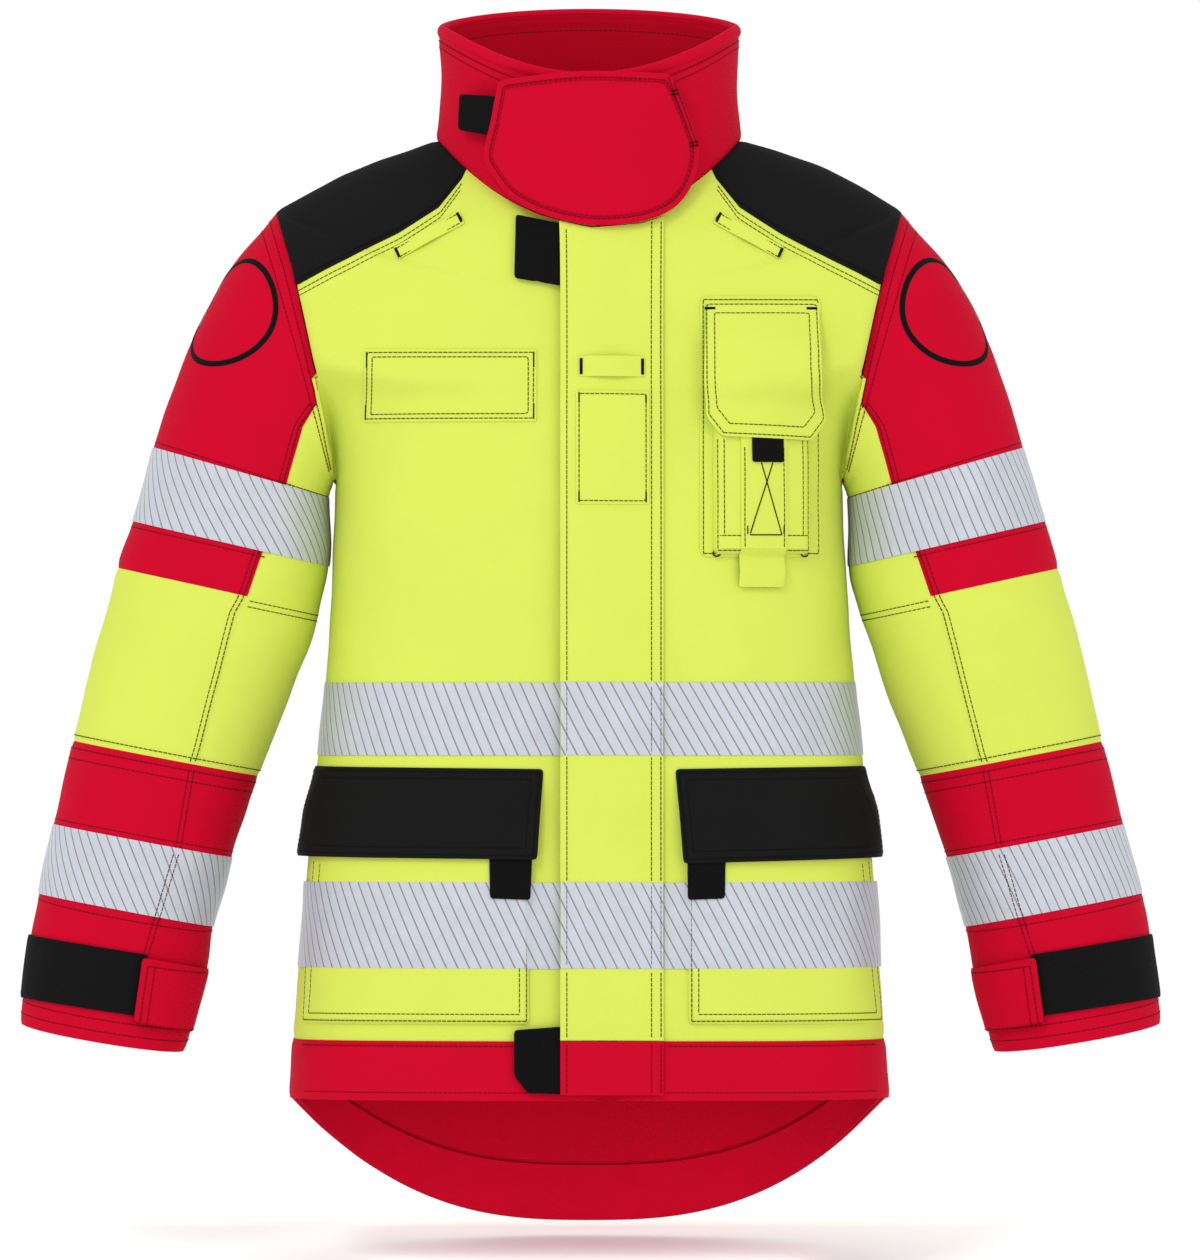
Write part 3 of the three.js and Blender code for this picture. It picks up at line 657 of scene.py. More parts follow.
# The line is drawn in the front view, and place turns it into points and normals on the cloth.
# A ready line is in the surface's own parameters and keeps its points.
def stitchLine(key, line, place, width=None, solid=False, ready=False):
    points, normals = place(np.asarray(line, float) if ready else resample(line, 1.2))
    joined = np.concatenate([points, normals], 1)
    length = runLength(points)

    def sample(at):
        return np.stack([np.interp(at, length, joined[:, k]) for k in range(6)], 1)

    size = satin if solid else stitchSize
    starts = np.arange(0, max(length[-1] - stitchSize["length"] * 0.6, 0.1), size["pitch"])
    a, b = sample(starts), sample(np.minimum(starts + size["length"], length[-1]))
    height = stitchSize["height"] * (satin["rise"] if solid else 1)
    addBars(key, a[:, :3], b[:, :3], a[:, 3:], width or stitchSize["width"], height)


def sewnPieces(bodies):
    for (bodyName, material, hingeName), (points, faces) in sewn.items():
        name = f"stitches.{bodyName}.{material}" + (f".{hingeName}" if hingeName else "")
        made = makeObject(name, [solidPatch(points, faces)], [material])
        joinUp(made, bodyName, (), bodies.get(hingeName))


# finding the surface under a point of the front view
def bodyParameters(xz, front=True):
    x, z = np.asarray(xz, float).T
    low, high = np.zeros(len(x)), np.ones(len(x))
    for _ in range(40):
        v = (low + high) / 2
        width, side, ahead, back, depth, square = levelAt(v * top).T
        sine = np.clip(np.abs(x) / width, 0, 1) ** (square / 2)
        cosine2 = 1 - sine**2
        height = side + ((ahead if front else back) - side) * cosine2
        low = np.where(height < z, v, low)
        high = np.where(height < z, high, v)
    angle = np.degrees(np.arcsin(np.clip(sine, 0, 1))) * np.sign(x)
    return (angle if front else 180 - angle), v


def onBody(lift=0.0, front=True, relief=bodyRelief):
    def place(xz):
        at = frontAt if front else backAt
        angle, v = bodyParameters(xz, front)
        limits = ((-90, 90), (0, 1)) if front else ((90, 270), (0, 1))
        points = at(angle, v)
        normals = normalsOf(at, angle, v, limits)
        height = (lift(points) if callable(lift) else lift) + relief(points)
        return points + normals * np.reshape(height, (-1, 1)), normals

    return place


def inset(points, distance, closed=False):
    points = [np.array(p, float) for p in points]
    result = []
    count = len(points)
    for i, p in enumerate(points):
        before = points[i - 1] if (i > 0 or closed) else None
        after = points[(i + 1) % count] if (i < count - 1 or closed) else None
        sides = []
        for a, b in ((before, p), (p, after)):
            if a is not None and b is not None:
                d = (b - a) / np.linalg.norm(b - a)
                sides.append(np.array([-d[1], d[0]]))
        n = sum(sides)
        n = n / np.linalg.norm(n)
        result.append(p + n * distance / max(0.4, float(n @ sides[0])))
    return [tuple(p) for p in result]


def rounded(outline, radius, steps=4):
    result = []
    count = len(outline)
    sizes = radius if isinstance(radius, list) else [radius] * count
    for i in range(count):
        p = np.array(outline[i], float)
        radius = sizes[i]
        before, after = np.array(outline[i - 1], float), np.array(outline[(i + 1) % count], float)
        a = p + (before - p) * min(0.45, radius / np.linalg.norm(before - p))
        b = p + (after - p) * min(0.45, radius / np.linalg.norm(after - p))
        for k in range(steps + 1):
            t = k / steps
            result.append(tuple((1 - t) ** 2 * a + 2 * t * (1 - t) * p + t**2 * b))
    return result


def rectangle(x0, x1, z0, z1):
    return [(x0, z0), (x1, z0), (x1, z1), (x0, z1)]


def mirrored(line, side):
    return [(side * x, z) for x, z in line]


print("surfaces ready")

# body panels; outlines run past the cloth's own edges
beyond = {"side": 300, "hem": 60, "tail": -40, "neck": 900}
yoke = [(226, 733), (148, 773), (117, 793), (99, 816), (60, beyond["neck"])]
yokeSide = 715.5
zipEdges = (body["zipX"] - 8, body["zipX"] + 8)
hemSeam = 146.0
gridGap = 3.6
bodyRows = np.unique(np.concatenate([evenSteps(0, 0.4, 0.0032), evenSteps(0.4, 1, 0.0062)]))
frontColumns = evenAngles(frontAt, -90, 90, gridGap, 0.3)
backColumns = evenAngles(backAt, 90, 270, gridGap * 1.1, 0.3)
bodyLimits = ((-90, 90), (0, 1))
backLimits = ((90, 270), (0, 1))
sides = ((-1, "right"), (1, "left"))
farSide = beyond["side"]


def frontPatch(outline, columns=None, **settings):
    columns = frontColumns if columns is None else columns
    return clothPatch(frontAt, columns, bodyRows, outline, limits=bodyLimits, **settings)


def backPatch(outline, **settings):
    return clothPatch(backAt, backColumns, bodyRows, outline, limits=backLimits, **settings)


for (side, word), zipEdge in zip(sides, zipEdges):
    edge = side * farSide
    outline = [(zipEdge, hemSeam), (edge, hemSeam), (edge, yokeSide)]
    outline += mirrored(yoke, side) + [(zipEdge, beyond["neck"])]
    clothPiece(f"front_panel_{word}", [frontPatch(outline)], ["yellow", "darkRed"])
    band = frontPatch(rectangle(zipEdge, edge, beyond["hem"], hemSeam), lift=0.5)
    clothPiece(f"hem_band_{word}", [band], ["red", "darkRed"])

backOutline = [(-farSide, hemSeam), (farSide, hemSeam), (farSide, yokeSide)]
backOutline += yoke + mirrored(yoke[::-1], -1) + [(-farSide, yokeSide)]
clothPiece("back_panel", [backPatch(backOutline)], ["yellow", "darkRed"])
tailBand = backPatch(rectangle(-farSide, farSide, beyond["tail"], hemSeam), lift=0.5)
clothPiece("tail_panel", [tailBand], ["red", "darkRed"])

for side, word in sides:
    edge = side * farSide
    outline = [(edge, yokeSide)] + mirrored(yoke, side) + [(edge, beyond["neck"])]
    both = [frontPatch(outline, lift=0.4), backPatch(outline, lift=0.4)]
    clothPiece(f"shoulder_yoke_{word}", both, ["black", "darkRed"])
print("body panels done")

# lining and the tail's facing
lining = {"start": 10, "edge": 0.0255, "lift": -4.3, "thickness": 1.5, "gap": 9}
liningRows = evenSteps(lining["edge"], 1, 0.012)
liningCloth = {"lift": lining["lift"], "thickness": lining["thickness"], "dip": 0.6}
patches = []
for at, low, high, limits in (
    (frontAt, lining["start"], 90, bodyLimits),
    (backAt, 90, 270, backLimits),
    (frontAt, -90, -lining["start"], bodyLimits),
):
    columns = evenAngles(at, low, high, lining["gap"], 0.3)
    patches.append(clothPatch(at, columns, liningRows, limits=limits, **liningCloth))
clothPiece("body_lining", patches, ["darkRed"])
facing = clothPatch(
    backAt,
    evenAngles(backAt, 90, 270, 5, 0.02),
    evenSteps(0.0004, 0.0238, 0.0016),
    limits=backLimits,
    lift=-3.5,
    thickness=1.8,
    dip=0.4,
)
clothPiece("tail_facing", [facing], ["red"])
print("lining done")

# pockets: their height over the front is a field that the reflective band follows
pockets = {
    "right": [(-46, 159), (-46, 300), (-214, 300), (-223, 159)],
    "left": [(77, 159), (77, 300), (217, 300), (228, 159)],
}
pocketHeight = 4.2


def pocketLift(points):
    x, z = points[:, 0], points[:, 2]
    total = np.zeros(len(x))
    for line in pockets.values():
        inner, outer = line[0][0], line[-1][0]
        low, high = min(inner, outer), max(inner, outer)
        depth = np.minimum(np.minimum(x - low, high - x), z - line[0][1])
        total = np.maximum(total, smooth(depth / 7 + 0.4) * pocketHeight * (depth > -1.2))
    return total * smooth((238 - np.abs(x)) / 48 + 0.12)


# low edge, high edge, and the share of the body's height at which the band's length is measured
tapeRows = {"chest": (367, 423.5, 0.29), "hip": (202, 268.5, 0.12)}
film = {"thickness": 0.45, "dip": 0.25, "dipWidth": 1.2}


def arcFlat(at, v):
    fine = np.linspace(-90, 270, 1400)
    length = runLength(at(fine, np.full(len(fine), v)))
    middle = np.interp(0, fine, length)

    def flat(points, u, vs):
        return np.stack([np.interp(u, fine, length) - middle, points[:, 2]], 1)

    return flat


for level, (low, high, v) in tapeRows.items():
    lift = (lambda p, *_: 0.9 + pocketLift(p)) if level == "hip" else 0.9
    for side, word, edge in ((-1, "right", 4.5), (1, "left", 58.2)):
        outline = rectangle(edge, side * farSide, low, high)
        band = frontPatch(outline, lift=lift, flat=arcFlat(frontAt, v), **film)
        clothPiece(f"tape_{level}_{word}", [band], ["tape"])
    outline = rectangle(-farSide, farSide, low, high)
    band = backPatch(outline, lift=0.6, flat=arcFlat(backAt, v), **film)
    clothPiece(f"tape_{level}_back", [band], ["tape"])
print("body bands done")

for word, outline in pockets.items():
    patch = frontPatch(
        rounded(outline[::-1] if word == "left" else outline, 5),
        lift=lambda p, *_: 0.4 + np.maximum(pocketLift(p), 0.4),
        thickness=lambda p, *_: np.maximum(pocketLift(p), 0.4) + 0.3,
        dip=0.4,
        dipWidth=1.5,
    )
    clothPiece(f"pocket_{word}", [patch], ["yellow"])

flapLines = {
    "right": [(-39.8, 286), (-226, 288), (-217.5, 358.5), (-35.2, 356.5)],
    "left": [(72.6, 283), (67, 356.5), (214.5, 358.5), (227, 287)],
}
tabLines = {
    "right": [(-76.3, 290), (-43.6, 290), (-45, 255), (-75.8, 256)],
    "left": [(75.6, 290), (104.6, 290), (104.3, 256), (76, 255)],
}


def flapLift(points, *_):
    z = points[:, 2]
    return 1.9 + 6.3 * smooth((357 - z) / 40) + 1.2 * smooth((320 - z) / 40)


def flapHinge(word):
    x = sum(p[0] for p in flapLines[word]) / 4
    return ("coat", (x, -120, 359), (x, -120, 338))


for side, word in sides:
    flapBody = f"pocket_flap_{word}"
    outline = rounded(flapLines[word], 3, 2)
    patch = frontPatch(outline, lift=flapLift, thickness=2.4, dip=0.8, dipWidth=1.6)
    clothPiece(flapBody, [patch], ["black"], flapBody, flapHinge(word))
    outline = rounded(tabLines[word], 2.5, 2)
    lift = lambda p, *_: flapLift(p) - 2.7
    patch = frontPatch(outline, lift=lift, thickness=1.6, dip=0.4, dipWidth=1.4)
    clothPiece(f"pocket_tab_{word}", [patch], ["webbing"], flapBody)
print("cargo pockets done")

# sleeves
# outer and inner points of the sleeve in the front view, for the wearer's left, and half its depth
stations = np.array(
    [
        (245, 790, 198, 577, 74),
        (280, 747, 201, 572, 74),
        (306, 699, 201.5, 569.5, 73),
        (324, 652, 202, 568.5, 72),
        (338.5, 606.5, 202.5, 567.5, 71),
        (355.5, 549, 204, 514, 70),
        (368, 513, 211.5, 478.5, 69),
        (386, 446, 233, 414, 67),
        (402, 378, 257, 350, 65),
        (417.5, 313, 278, 287, 64),
        (430.5, 259, 293, 233, 63),
        (438, 219, 299, 196, 62),
        (445, 158, 315, 136, 60),
    ],
    float,
)
last = len(stations) - 1
stationAt = curveThrough(stations)


# w runs up the sleeve, 0 at the wrist and 1 at the armhole
def sleeveAt(angle, w):
    t = (1 - np.clip(np.asarray(w, float), 0, 1)) * last
    outerX, outerZ, innerX, innerZ, depth = stationAt(t).T
    sine = np.sin(np.radians(angle))
    cosine = np.cos(np.radians(angle))
    across = (1 + power(sine, 0.92)) / 2
    droop = 4 * smooth((t - 9) / 1.5) * cosine
    x = lerp(innerX, outerX, across)
    z = lerp(innerZ, outerZ, across)
    start = np.clip(1 - t, 0, 1) ** 2
    straight = lerp(body["chestHalfWidth"], body["shoulderHalfWidth"], across)
    x = x + start * (np.interp(z, levels[4:9, 1], levels[4:9, 0]) - straight)
    return np.stack([x, -depth * power(cosine, 0.92), z - droop], 1)


def sleeveRelief(phase):
    def relief(points):
        x, y, z = points.T
        down = (790 - z) / 640
        bend = np.exp(-(((z - 500) / 90) ** 2)) + 0.5 * np.exp(-(((z - 250) / 80) ** 2))
        creases = np.sin((z + 0.35 * x) / 13 + 1.6 * np.sin(x / 31 + phase) + phase)
        slow = np.sin(z / 57 + x / 44 + phase * 2) + 0.6 * np.sin(y / 33 + z / 91 + phase)
        fine = np.sin(x / 8.7 + np.sin(z / 17) + phase) * np.sin(z / 12.3 + np.sin(x / 21))
        height = folds["sleeve"] * (0.42 * bend * creases + 0.4 * slow) + folds["fine"] * fine
        return height * smooth(down / 0.14)

    return relief


sleeveReliefs = {1: sleeveRelief(0.4), -1: sleeveRelief(2.3)}
sleeveLimits = ((-90, 270), (0, 1))
sleeveColumns = evenAngles(sleeveAt, -90, 270, 4.0, 0.5)
sleeveRows = np.unique(1 - np.concatenate([evenSteps(0, 5, 0.07), evenSteps(5, last, 0.062)]) / last)
sleeveSeam = [(211.5, 640), (222, 622), (234, 579), (250, 534), (266, 489), (272, 478), (300, 370)]
elbowCorner, wristCorner = (265.5, 490.4), (302.9, 358.9)


def acrossSleeve(i, shift=0.0):
    outer, inner = stations[i][:2], stations[i][2:4]
    unit = (outer - inner) / np.linalg.norm(outer - inner)
    down = np.array([unit[1], -unit[0]]) * shift
    return [tuple(outer + unit * 60 + down), tuple(inner - unit * 20 + down)]


def between(i, j, shiftI=0.0, shiftJ=0.0):
    high, low = acrossSleeve(i, shiftI), acrossSleeve(j, shiftJ)
    return [high[0], high[1], low[1], low[0]]


def sleevePatch(side, outline, **settings):
    relief = sleeveReliefs[side]
    mirror = np.array([side, 1, 1])
    patch = clothPatch(
        sleeveAt,
        settings.pop("columns", sleeveColumns),
        settings.pop("rows", sleeveRows),
        outline,
        relief=lambda p: relief(p * mirror),
        limits=sleeveLimits,
        **settings,
    )
    return patch if side > 0 else mirroredPatch(patch)


sleeveRound = np.linspace(-90, 270, 900)
sleeveArc = runLength(sleeveAt(sleeveRound, np.full(900, 0.5)))


def sleeveFlat(points, u, w):
    along = np.interp(u, sleeveRound, sleeveArc)
    return np.stack([along - 0.23 * points[:, 2], points[:, 2]], 1)


def sleeveSkin(side, word):
    bodyName, hinge = f"sleeve_{word}", sleeveHinge(side)
    elbow, low = acrossSleeve(6), acrossSleeve(8)
    upperSeam, lowerSeam = sleeveSeam[:4], sleeveSeam[4:]
    cap = [(140, 700), (140, 860), (340, 860), elbow[0], elbowCorner] + upperSeam[::-1] + [(205, 700)]
    forearm = [elbow[0], elbowCorner] + lowerSeam + [wristCorner, low[0]]
    under = upperSeam + [elbowCorner] + lowerSeam + [wristCorner, low[1]]
    under += [(150, 330), (150, 700), (205, 700)]
    for part, colour, outline, blended in (
        ("cap", "red", cap, hinge),
        ("forearm", "yellow", forearm, hinge),
        ("under", "yellow", under, hinge),
        ("wrist", "red", between(8, 12, 0, 60), None),
    ):
        patch = sleevePatch(side, outline)
        clothPiece(f"sleeve_{part}_{word}", [patch], [colour, "darkRed"], bodyName, blended)
    for name, i, blended in (("arm", 4, hinge), ("wrist", 9, None)):
        band = sleevePatch(
            side, between(i, i + 1), lift=0.9, thickness=0.5, dip=0.25, dipWidth=1.2, flat=sleeveFlat
        )
        clothPiece(f"tape_{name}_{word}", [band], ["tape"], bodyName, blended)
    patch = sleevePatch(
        side,
        [(344, 212), (470, 232), (470, 182), (351, 164)],
        columns=evenAngles(sleeveAt, -90, 99, 4.0, 0.1),
        lift=2.3,
        thickness=2.0,
        dip=0.5,
        dipWidth=1.5,
    )
    clothPiece(f"cuff_patch_{word}", [patch], ["fastener"], bodyName)


for side, word in sides:
    sleeveSkin(side, word)
print("sleeves done")


# cuff tabs: the red strap over the black patch, one corner of it lifting a little
def cuffTabLift(points, *_):
    fromSewn = smooth((-points[:, 1] - 4) / 24)
    return 1.6 + 3.6 * fromSewn + 1.6 * smooth((points[:, 0] - 318) / 34)


for side, word in sides:
    patch = sleevePatch(
        side,
        rounded([(348, 210), (355, 160), (280, 146), (280, 197)], 3, 2),
        columns=evenAngles(sleeveAt, -86, 90, 3.0, 0.1),
        lift=cuffTabLift,
        thickness=2.3,
        dip=0.7,
        dipWidth=1.8,
    )
    sewnEnd = (f"sleeve_{word}", (side * 300, 2, 171), (side * 300, -18, 171))
    clothPiece(f"cuff_tab_{word}", [patch], ["red"], f"cuff_tab_{word}", sewnEnd)

# collar
collar = {
    "rimHalfWidth": 116,
    "rimSide": 932,
    "rimFront": 894,
    "rimBack": 948,
    "opening": 6.8,
    "gap": 3.4,
}


def collarAt(angle, v):
    angle = np.asarray(angle, float)
    v = np.clip(np.asarray(v, float), 0, 1)
    neck = body["neckHalfWidth"]
    sine, cosine = np.sin(np.radians(angle)), np.cos(np.radians(angle))
    ahead = cosine > 0
    width = lerp(neck, collar["rimHalfWidth"], v) - 3 * np.sin(np.pi * v) + 1.5
    side = lerp(846.3, collar["rimSide"], v)
    middle = np.where(ahead, lerp(780.3, collar["rimFront"], v), lerp(862.3, collar["rimBack"], v))
    depth = np.where(ahead, body["neckFrontDepth"] - 2 * v, body["neckBackDepth"] - 4 * v) + 1.5
    fall = np.where(ahead, cosine**2, np.abs(cosine) ** 1.2)
    # the back of the collar's foot laps over the neck edge
    lap = np.where(ahead, 0.0, 6.0 * np.abs(2 * sine * cosine) + 1.0) * (1 - v) ** 4
    return np.stack([width * sine, -depth * cosine, side + (middle - side) * fall - lap], 1)


def collarRelief(points):
    x, y, z = points.T
    return 0.5 * np.sin(x / 17 + z / 29) * np.sin(y / 23 + 1) + 0.18 * np.sin(z / 7 + x / 11)


collarLow = collar["opening"] + collar["gap"]
collarHigh = 360 + collar["opening"] - collar["gap"]
collarColumns = evenAngles(collarAt, collarLow, collarHigh, 3.0, 0.5)
collarLimits = ((collarLow, collarHigh), (0, 1))
patch = clothPatch(
    collarAt,
    collarColumns,
    evenSteps(0, 1, 0.03),
    limits=collarLimits,
    lift=lambda p, d, u, v: 0.3 - 0.9 * np.exp(-(((v - 0.925) / 0.02) ** 2)),
    thickness=5.6,
    dip=2.2,
    dipWidth=2.2,
    relief=collarRelief,
)
clothPiece("collar", [patch], ["red", "darkRed"], nodes=["collar_shell", "collar_lining"])


# The faces of a closed tube whose points go round ring by ring.
def tubeFaces(rings, ring):
    faces = []
    for i in range(rings - 1):
        for k in range(ring):
            a, b = i * ring + k, i * ring + (k + 1) % ring
            faces.append([a, b, b + ring, a + ring])
    start = (rings - 1) * ring
    return faces + [list(range(ring))[::-1], list(range(start, start + ring))]


# A tube of cloth along a line on a surface, flattened by its two half sizes.
def bindingAlong(spots, normals, halfOut, halfUp, ring=10):
    tangents = np.gradient(spots, axis=0)
    tangents /= np.linalg.norm(tangents, axis=1, keepdims=True)
    ups = np.cross(tangents, normals)
    turn = np.linspace(0, 2 * np.pi, ring, endpoint=False)
    out, up = np.cos(turn) * halfOut, np.sin(turn) * halfUp
    rings = [p + np.outer(out, n) + np.outer(up, b) for p, n, b in zip(spots, normals, ups)]
    return solidPatch(np.concatenate(rings), tubeFaces(len(rings), ring))


rimAngles = evenAngles(collarAt, collarLow, collarHigh, 2.2, 1.0)
rimOnes = np.full(len(rimAngles), 0.985)
rimNormals = normalsOf(collarAt, rimAngles, rimOnes, collarLimits)
rimSpots = collarAt(rimAngles, rimOnes)
rimSpots = rimSpots + rimNormals * (collarRelief(rimSpots) - 2.5)[:, None]
binding = bindingAlong(rimSpots, rimNormals, 3.5, 5.2)
clothPiece("collar_binding", [binding], ["red"], nodes=(), sheet=False)

# hang loop: webbing sewn at both ends inside the back of the neck
loop = {"half": 30.0, "gap": 8.6, "width": 9.0, "seat": 78.0, "z": 884.0, "thickness": 1.4}
loop["flatArea"] = 61 * loop["width"]
path = np.linspace(-loop["half"], loop["half"], 41)
arch = smooth((loop["half"] - 4 - np.abs(path)) / 14) * loop["gap"]
points = []
for x, bow in zip(path, arch):
    for dz, dy in ((-1, 0), (1, 0), (1, loop["thickness"]), (-1, loop["thickness"])):
        points.append((x, loop["seat"] - 2.6 - bow - dy + 0.7, loop["z"] + dz * loop["width"] / 2))
patch = solidPatch(points, tubeFaces(len(path), 4), loop["flatArea"])
clothPiece("hang_loop", [patch], ["webbing"])
print("collar done")

# throat flap: a padded shield sewn to the collar along its slanted side
throatOutline = [
    (-69, 891),
    (-75, 858),
    (-82.5, 831),
    (-75, 818),
    (-61, 799),
    (-34, 785),
    (2, 777),
    (40, 780),
    (65, 790),
    (79, 808),
    (86.5, 838.5),
    (68, 883.5),
    (61.5, 896),
    (2, 898.5),
    (-30, 896),
]
throatEdge = rounded(throatOutline, [5] * 2 + [40] * 8 + [18, 5, 5, 30, 30], 4)
throatHinge = ("coat", (84, -80, 868), (58, -96, 859))


def throatAt(angle, height):
    turn = np.radians(angle)
    reach = body["neckFrontDepth"] + 10.5
    return np.stack(
        [
            (body["neckHalfWidth"] + 4) * np.sin(turn),
            -reach * np.cos(turn) ** 0.9,
            np.asarray(height, float),
        ],
        1,
    )


def throatRelief(points):
    x, y, z = points.T
    return 0.45 * np.sin(x / 21 + z / 37) + 0.3 * np.sin(z / 13 - x / 19)


throatLimits = ((-62, 62), (770, 905))
throatColumns = evenAngles(throatAt, -62, 62, 2.4, 840)
throatRows = evenSteps(770, 905, 2.4)
throatGrid = (throatAt, throatColumns, throatRows)
throatCloth = {"limits": throatLimits, "relief": throatRelief}
patch = clothPatch(
    *throatGrid,
    throatEdge,
    lift=lambda p, d, *_: 3.3 + 1.1 * smooth((d - 7) / 10) - 0.7 * np.exp(-(((d - 6.5) / 1.6) ** 2)),
    thickness=3.8,
    dip=1.2,
    dipWidth=1.6,
    **throatCloth,
)
clothPiece("throat_flap", [patch], ["red"], "throat_flap", throatHinge)
outline = rounded([(-101, 853), (-66, 846), (-66, 878), (-100, 881)], 3, 2)
patch = clothPatch(
    *throatGrid, outline, lift=1.6, thickness=1.7, dip=0.4, dipWidth=1.4, **throatCloth
)
clothPiece("throat_tab", [patch], ["webbing"], "throat_flap")
print("throat flap done")

# storm flap over the zip
storm = {
    "free": -22.0,
    "sewn": 57.6,
    "low": 104.0,
    "freeLift": 9.0,
    "sewnLift": 3.4,
    "thickness": 2.5,
}
stormTop = [(57.6, 784.5), (40, 778.8), (2, 775.8), (-22, 780.6)]
stormHinge = ("coat", (57, -130, 400), (42, -130, 400))


def stormLift(points, *_):
    x, y, z = points.T
    rise = smooth((storm["sewn"] - x) / 62)
    wave = 0.7 * np.sin(z / 61 + 0.8) + 0.45 * np.sin(z / 23 + x / 60)
    return lerp(storm["sewnLift"], storm["freeLift"] + wave, rise)


# how far something lies over the storm flap
def overStorm(height):
    return lambda p, *_: stormLift(p) + height


stormColumns = evenAngles(frontAt, -20, 32, 2.6, 0.5)
stormCloth = {
    "columns": stormColumns,
    "thickness": storm["thickness"],
    "dip": 0.6,
    "dipWidth": 1.8,
}
above, below = hemSeam + 0.3, hemSeam - 0.3
outline = [(storm["free"], above), (storm["sewn"], above)] + stormTop
patch = frontPatch(outline, lift=stormLift, **stormCloth)
outline = rectangle(storm["free"], storm["sewn"], storm["low"], below)
lowBand = frontPatch(outline, lift=overStorm(0.4), **stormCloth)
lowBand["inSide"] = [1] * len(lowBand["inSide"])
made = clothPiece("storm_flap", [patch, lowBand], ["yellow", "red"], "storm_flap", stormHinge)
made.data.polygons.foreach_set(
    "material_index", [0] * len(patch["faces"]) + [1] * len(lowBand["faces"])
)
for level, (low, high, v) in tapeRows.items():
    band = frontPatch(
        rectangle(storm["free"] + 0.4, storm["sewn"] - 0.3, low, high),
        stormColumns,
        lift=overStorm(0.7),
        thickness=0.5,
        dip=0.2,
        dipWidth=1.2,
        flat=arcFlat(frontAt, v),
    )
    clothPiece(f"storm_tape_{level}", [band], ["tape"], "storm_flap", stormHinge, ())


# the tabs lie under the flap and fall a little beyond its free edge
def stormTabLift(points, *_):
    under = stormLift(np.maximum(points, [storm["free"], -400, 0])) - 3.2
    return np.minimum(under, 5.8) - 0.03 * np.maximum(storm["free"] - points[:, 0], 0)


for name, outline in (
    ("top", [(-57.7, 737), (-16, 730), (-16, 778), (-56, 785.5)]),
    ("bottom", [(-57.7, 154.4), (-57.7, 119.3), (-47.6, 106), (-16, 104.5), (-16, 157.6)]),
):
    patch = frontPatch(
        rounded(outline, 2.5, 2),
        evenAngles(frontAt, -40, 0, 2.6, 0.5),
        lift=stormTabLift,
        thickness=1.8,
        dip=0.4,
        dipWidth=1.4,
    )
    clothPiece(f"storm_tab_{name}", [patch], ["webbing"], "storm_flap")


# A small piece of cloth sewn on flat; its settings are the columns and the thickness.
def trimOn(name, outline, lift, radius=1.5, material="yellow", bodyName="coat", hinge=None, **settings):
    settings = {"thickness": 1.2, "dip": 0.35, "dipWidth": 1.3, **settings}
    patch = frontPatch(rounded(outline, radius, 2), lift=lift, **settings)
    clothPiece(name, [patch], [material], bodyName, hinge)


micLoop = rectangle(-8, 43.5, 660.5, 676.5)
badge = rectangle(-10, 46.5, 561.5, 649.5)
namePanel = rectangle(-174.5, -40.5, 626, 682)
onFlap = {"columns": stormColumns, "bodyName": "storm_flap", "hinge": stormHinge}


def micLoopLift(points, *_):
    across = np.clip((points[:, 0] + 2) / 39, 0, 1)
    return stormLift(points) + 1.4 + 2.2 * np.sin(across * math.pi)


trimOn("mic_loop", micLoop, micLoopLift, **onFlap)
trimOn("badge_panel", badge, overStorm(1.3), **onFlap)
trimOn("name_panel", namePanel, 1.4)
for side, word in sides:
    outline = mirrored([(152, 761), (148, 752), (96, 780), (100, 789)], side)
    trimOn(
        f"shoulder_loop_{word}",
        outline if side > 0 else outline[::-1],
        lambda p, *_: 1.7 + 1.6 * np.exp(-(((np.abs(p[:, 0]) - 124) / 13) ** 2)),
    )
print("storm flap and trims done")

# radio pocket on the wearer's left chest
radio = {"x0": 96.0, "x1": 168.5, "z0": 523.0, "z1": 690.0, "lift": 6.6, "flapTop": 719.0}


def radioHeight(points):
    x, z = points[:, 0], points[:, 2]
    across = np.minimum(x - radio["x0"], radio["x1"] - x)
    depth = np.minimum(across, np.minimum(z - radio["z0"], radio["z1"] - z))
    return smooth(depth / 6 + 0.25) * radio["lift"] * (depth > -1.5)


fineColumns = evenAngles(frontAt, 20, 75, 2.4, 0.7)
trimOn("radio_backing", rectangle(86, 180, 521, 723), 1.5, 6)
trimOn(
    "radio_pocket",
    rectangle(radio["x0"], radio["x1"], radio["z0"], radio["z1"]),
    lambda p, *_: 2.3 + np.maximum(radioHeight(p), 0.6),
    3,
    columns=fineColumns,
    thickness=lambda p, *_: np.maximum(radioHeight(p), 0.6) + 0.6,
)
trimOn(
    "radio_strap",
    rectangle(115.5, 149.5, 497.5, 640),
    lambda p, *_: 3.8 + radioHeight(p) + 3.0 * np.exp(-(((p[:, 2] - 510) / 8) ** 2)),
    columns=fineColumns,
    thickness=1.4,
)
radioOutline = [(100.5, 614.5), (167, 612.5), (177, 628), (178.5, 719), (89, 719), (89, 629.5)]
radioHinge = ("coat", (134, -110, 719.5), (134, -110, 700))


def radioFlapLift(points, *_):
    return 3.0 + 9.6 * smooth((radio["flapTop"] - points[:, 2]) / 44)


trimOn(
    "radio_flap",
    radioOutline,
    radioFlapLift,
    4,
    bodyName="radio_flap",
    hinge=radioHinge,
    columns=fineColumns,
    thickness=2.3,
)
trimOn(
    "radio_tab",
    rectangle(123.5, 146.5, 594.5, 617),
    lambda p, *_: radioFlapLift(p) - 0.5,
    material="webbing",
    bodyName="radio_flap",
    columns=fineColumns,
)
print("radio pocket done")

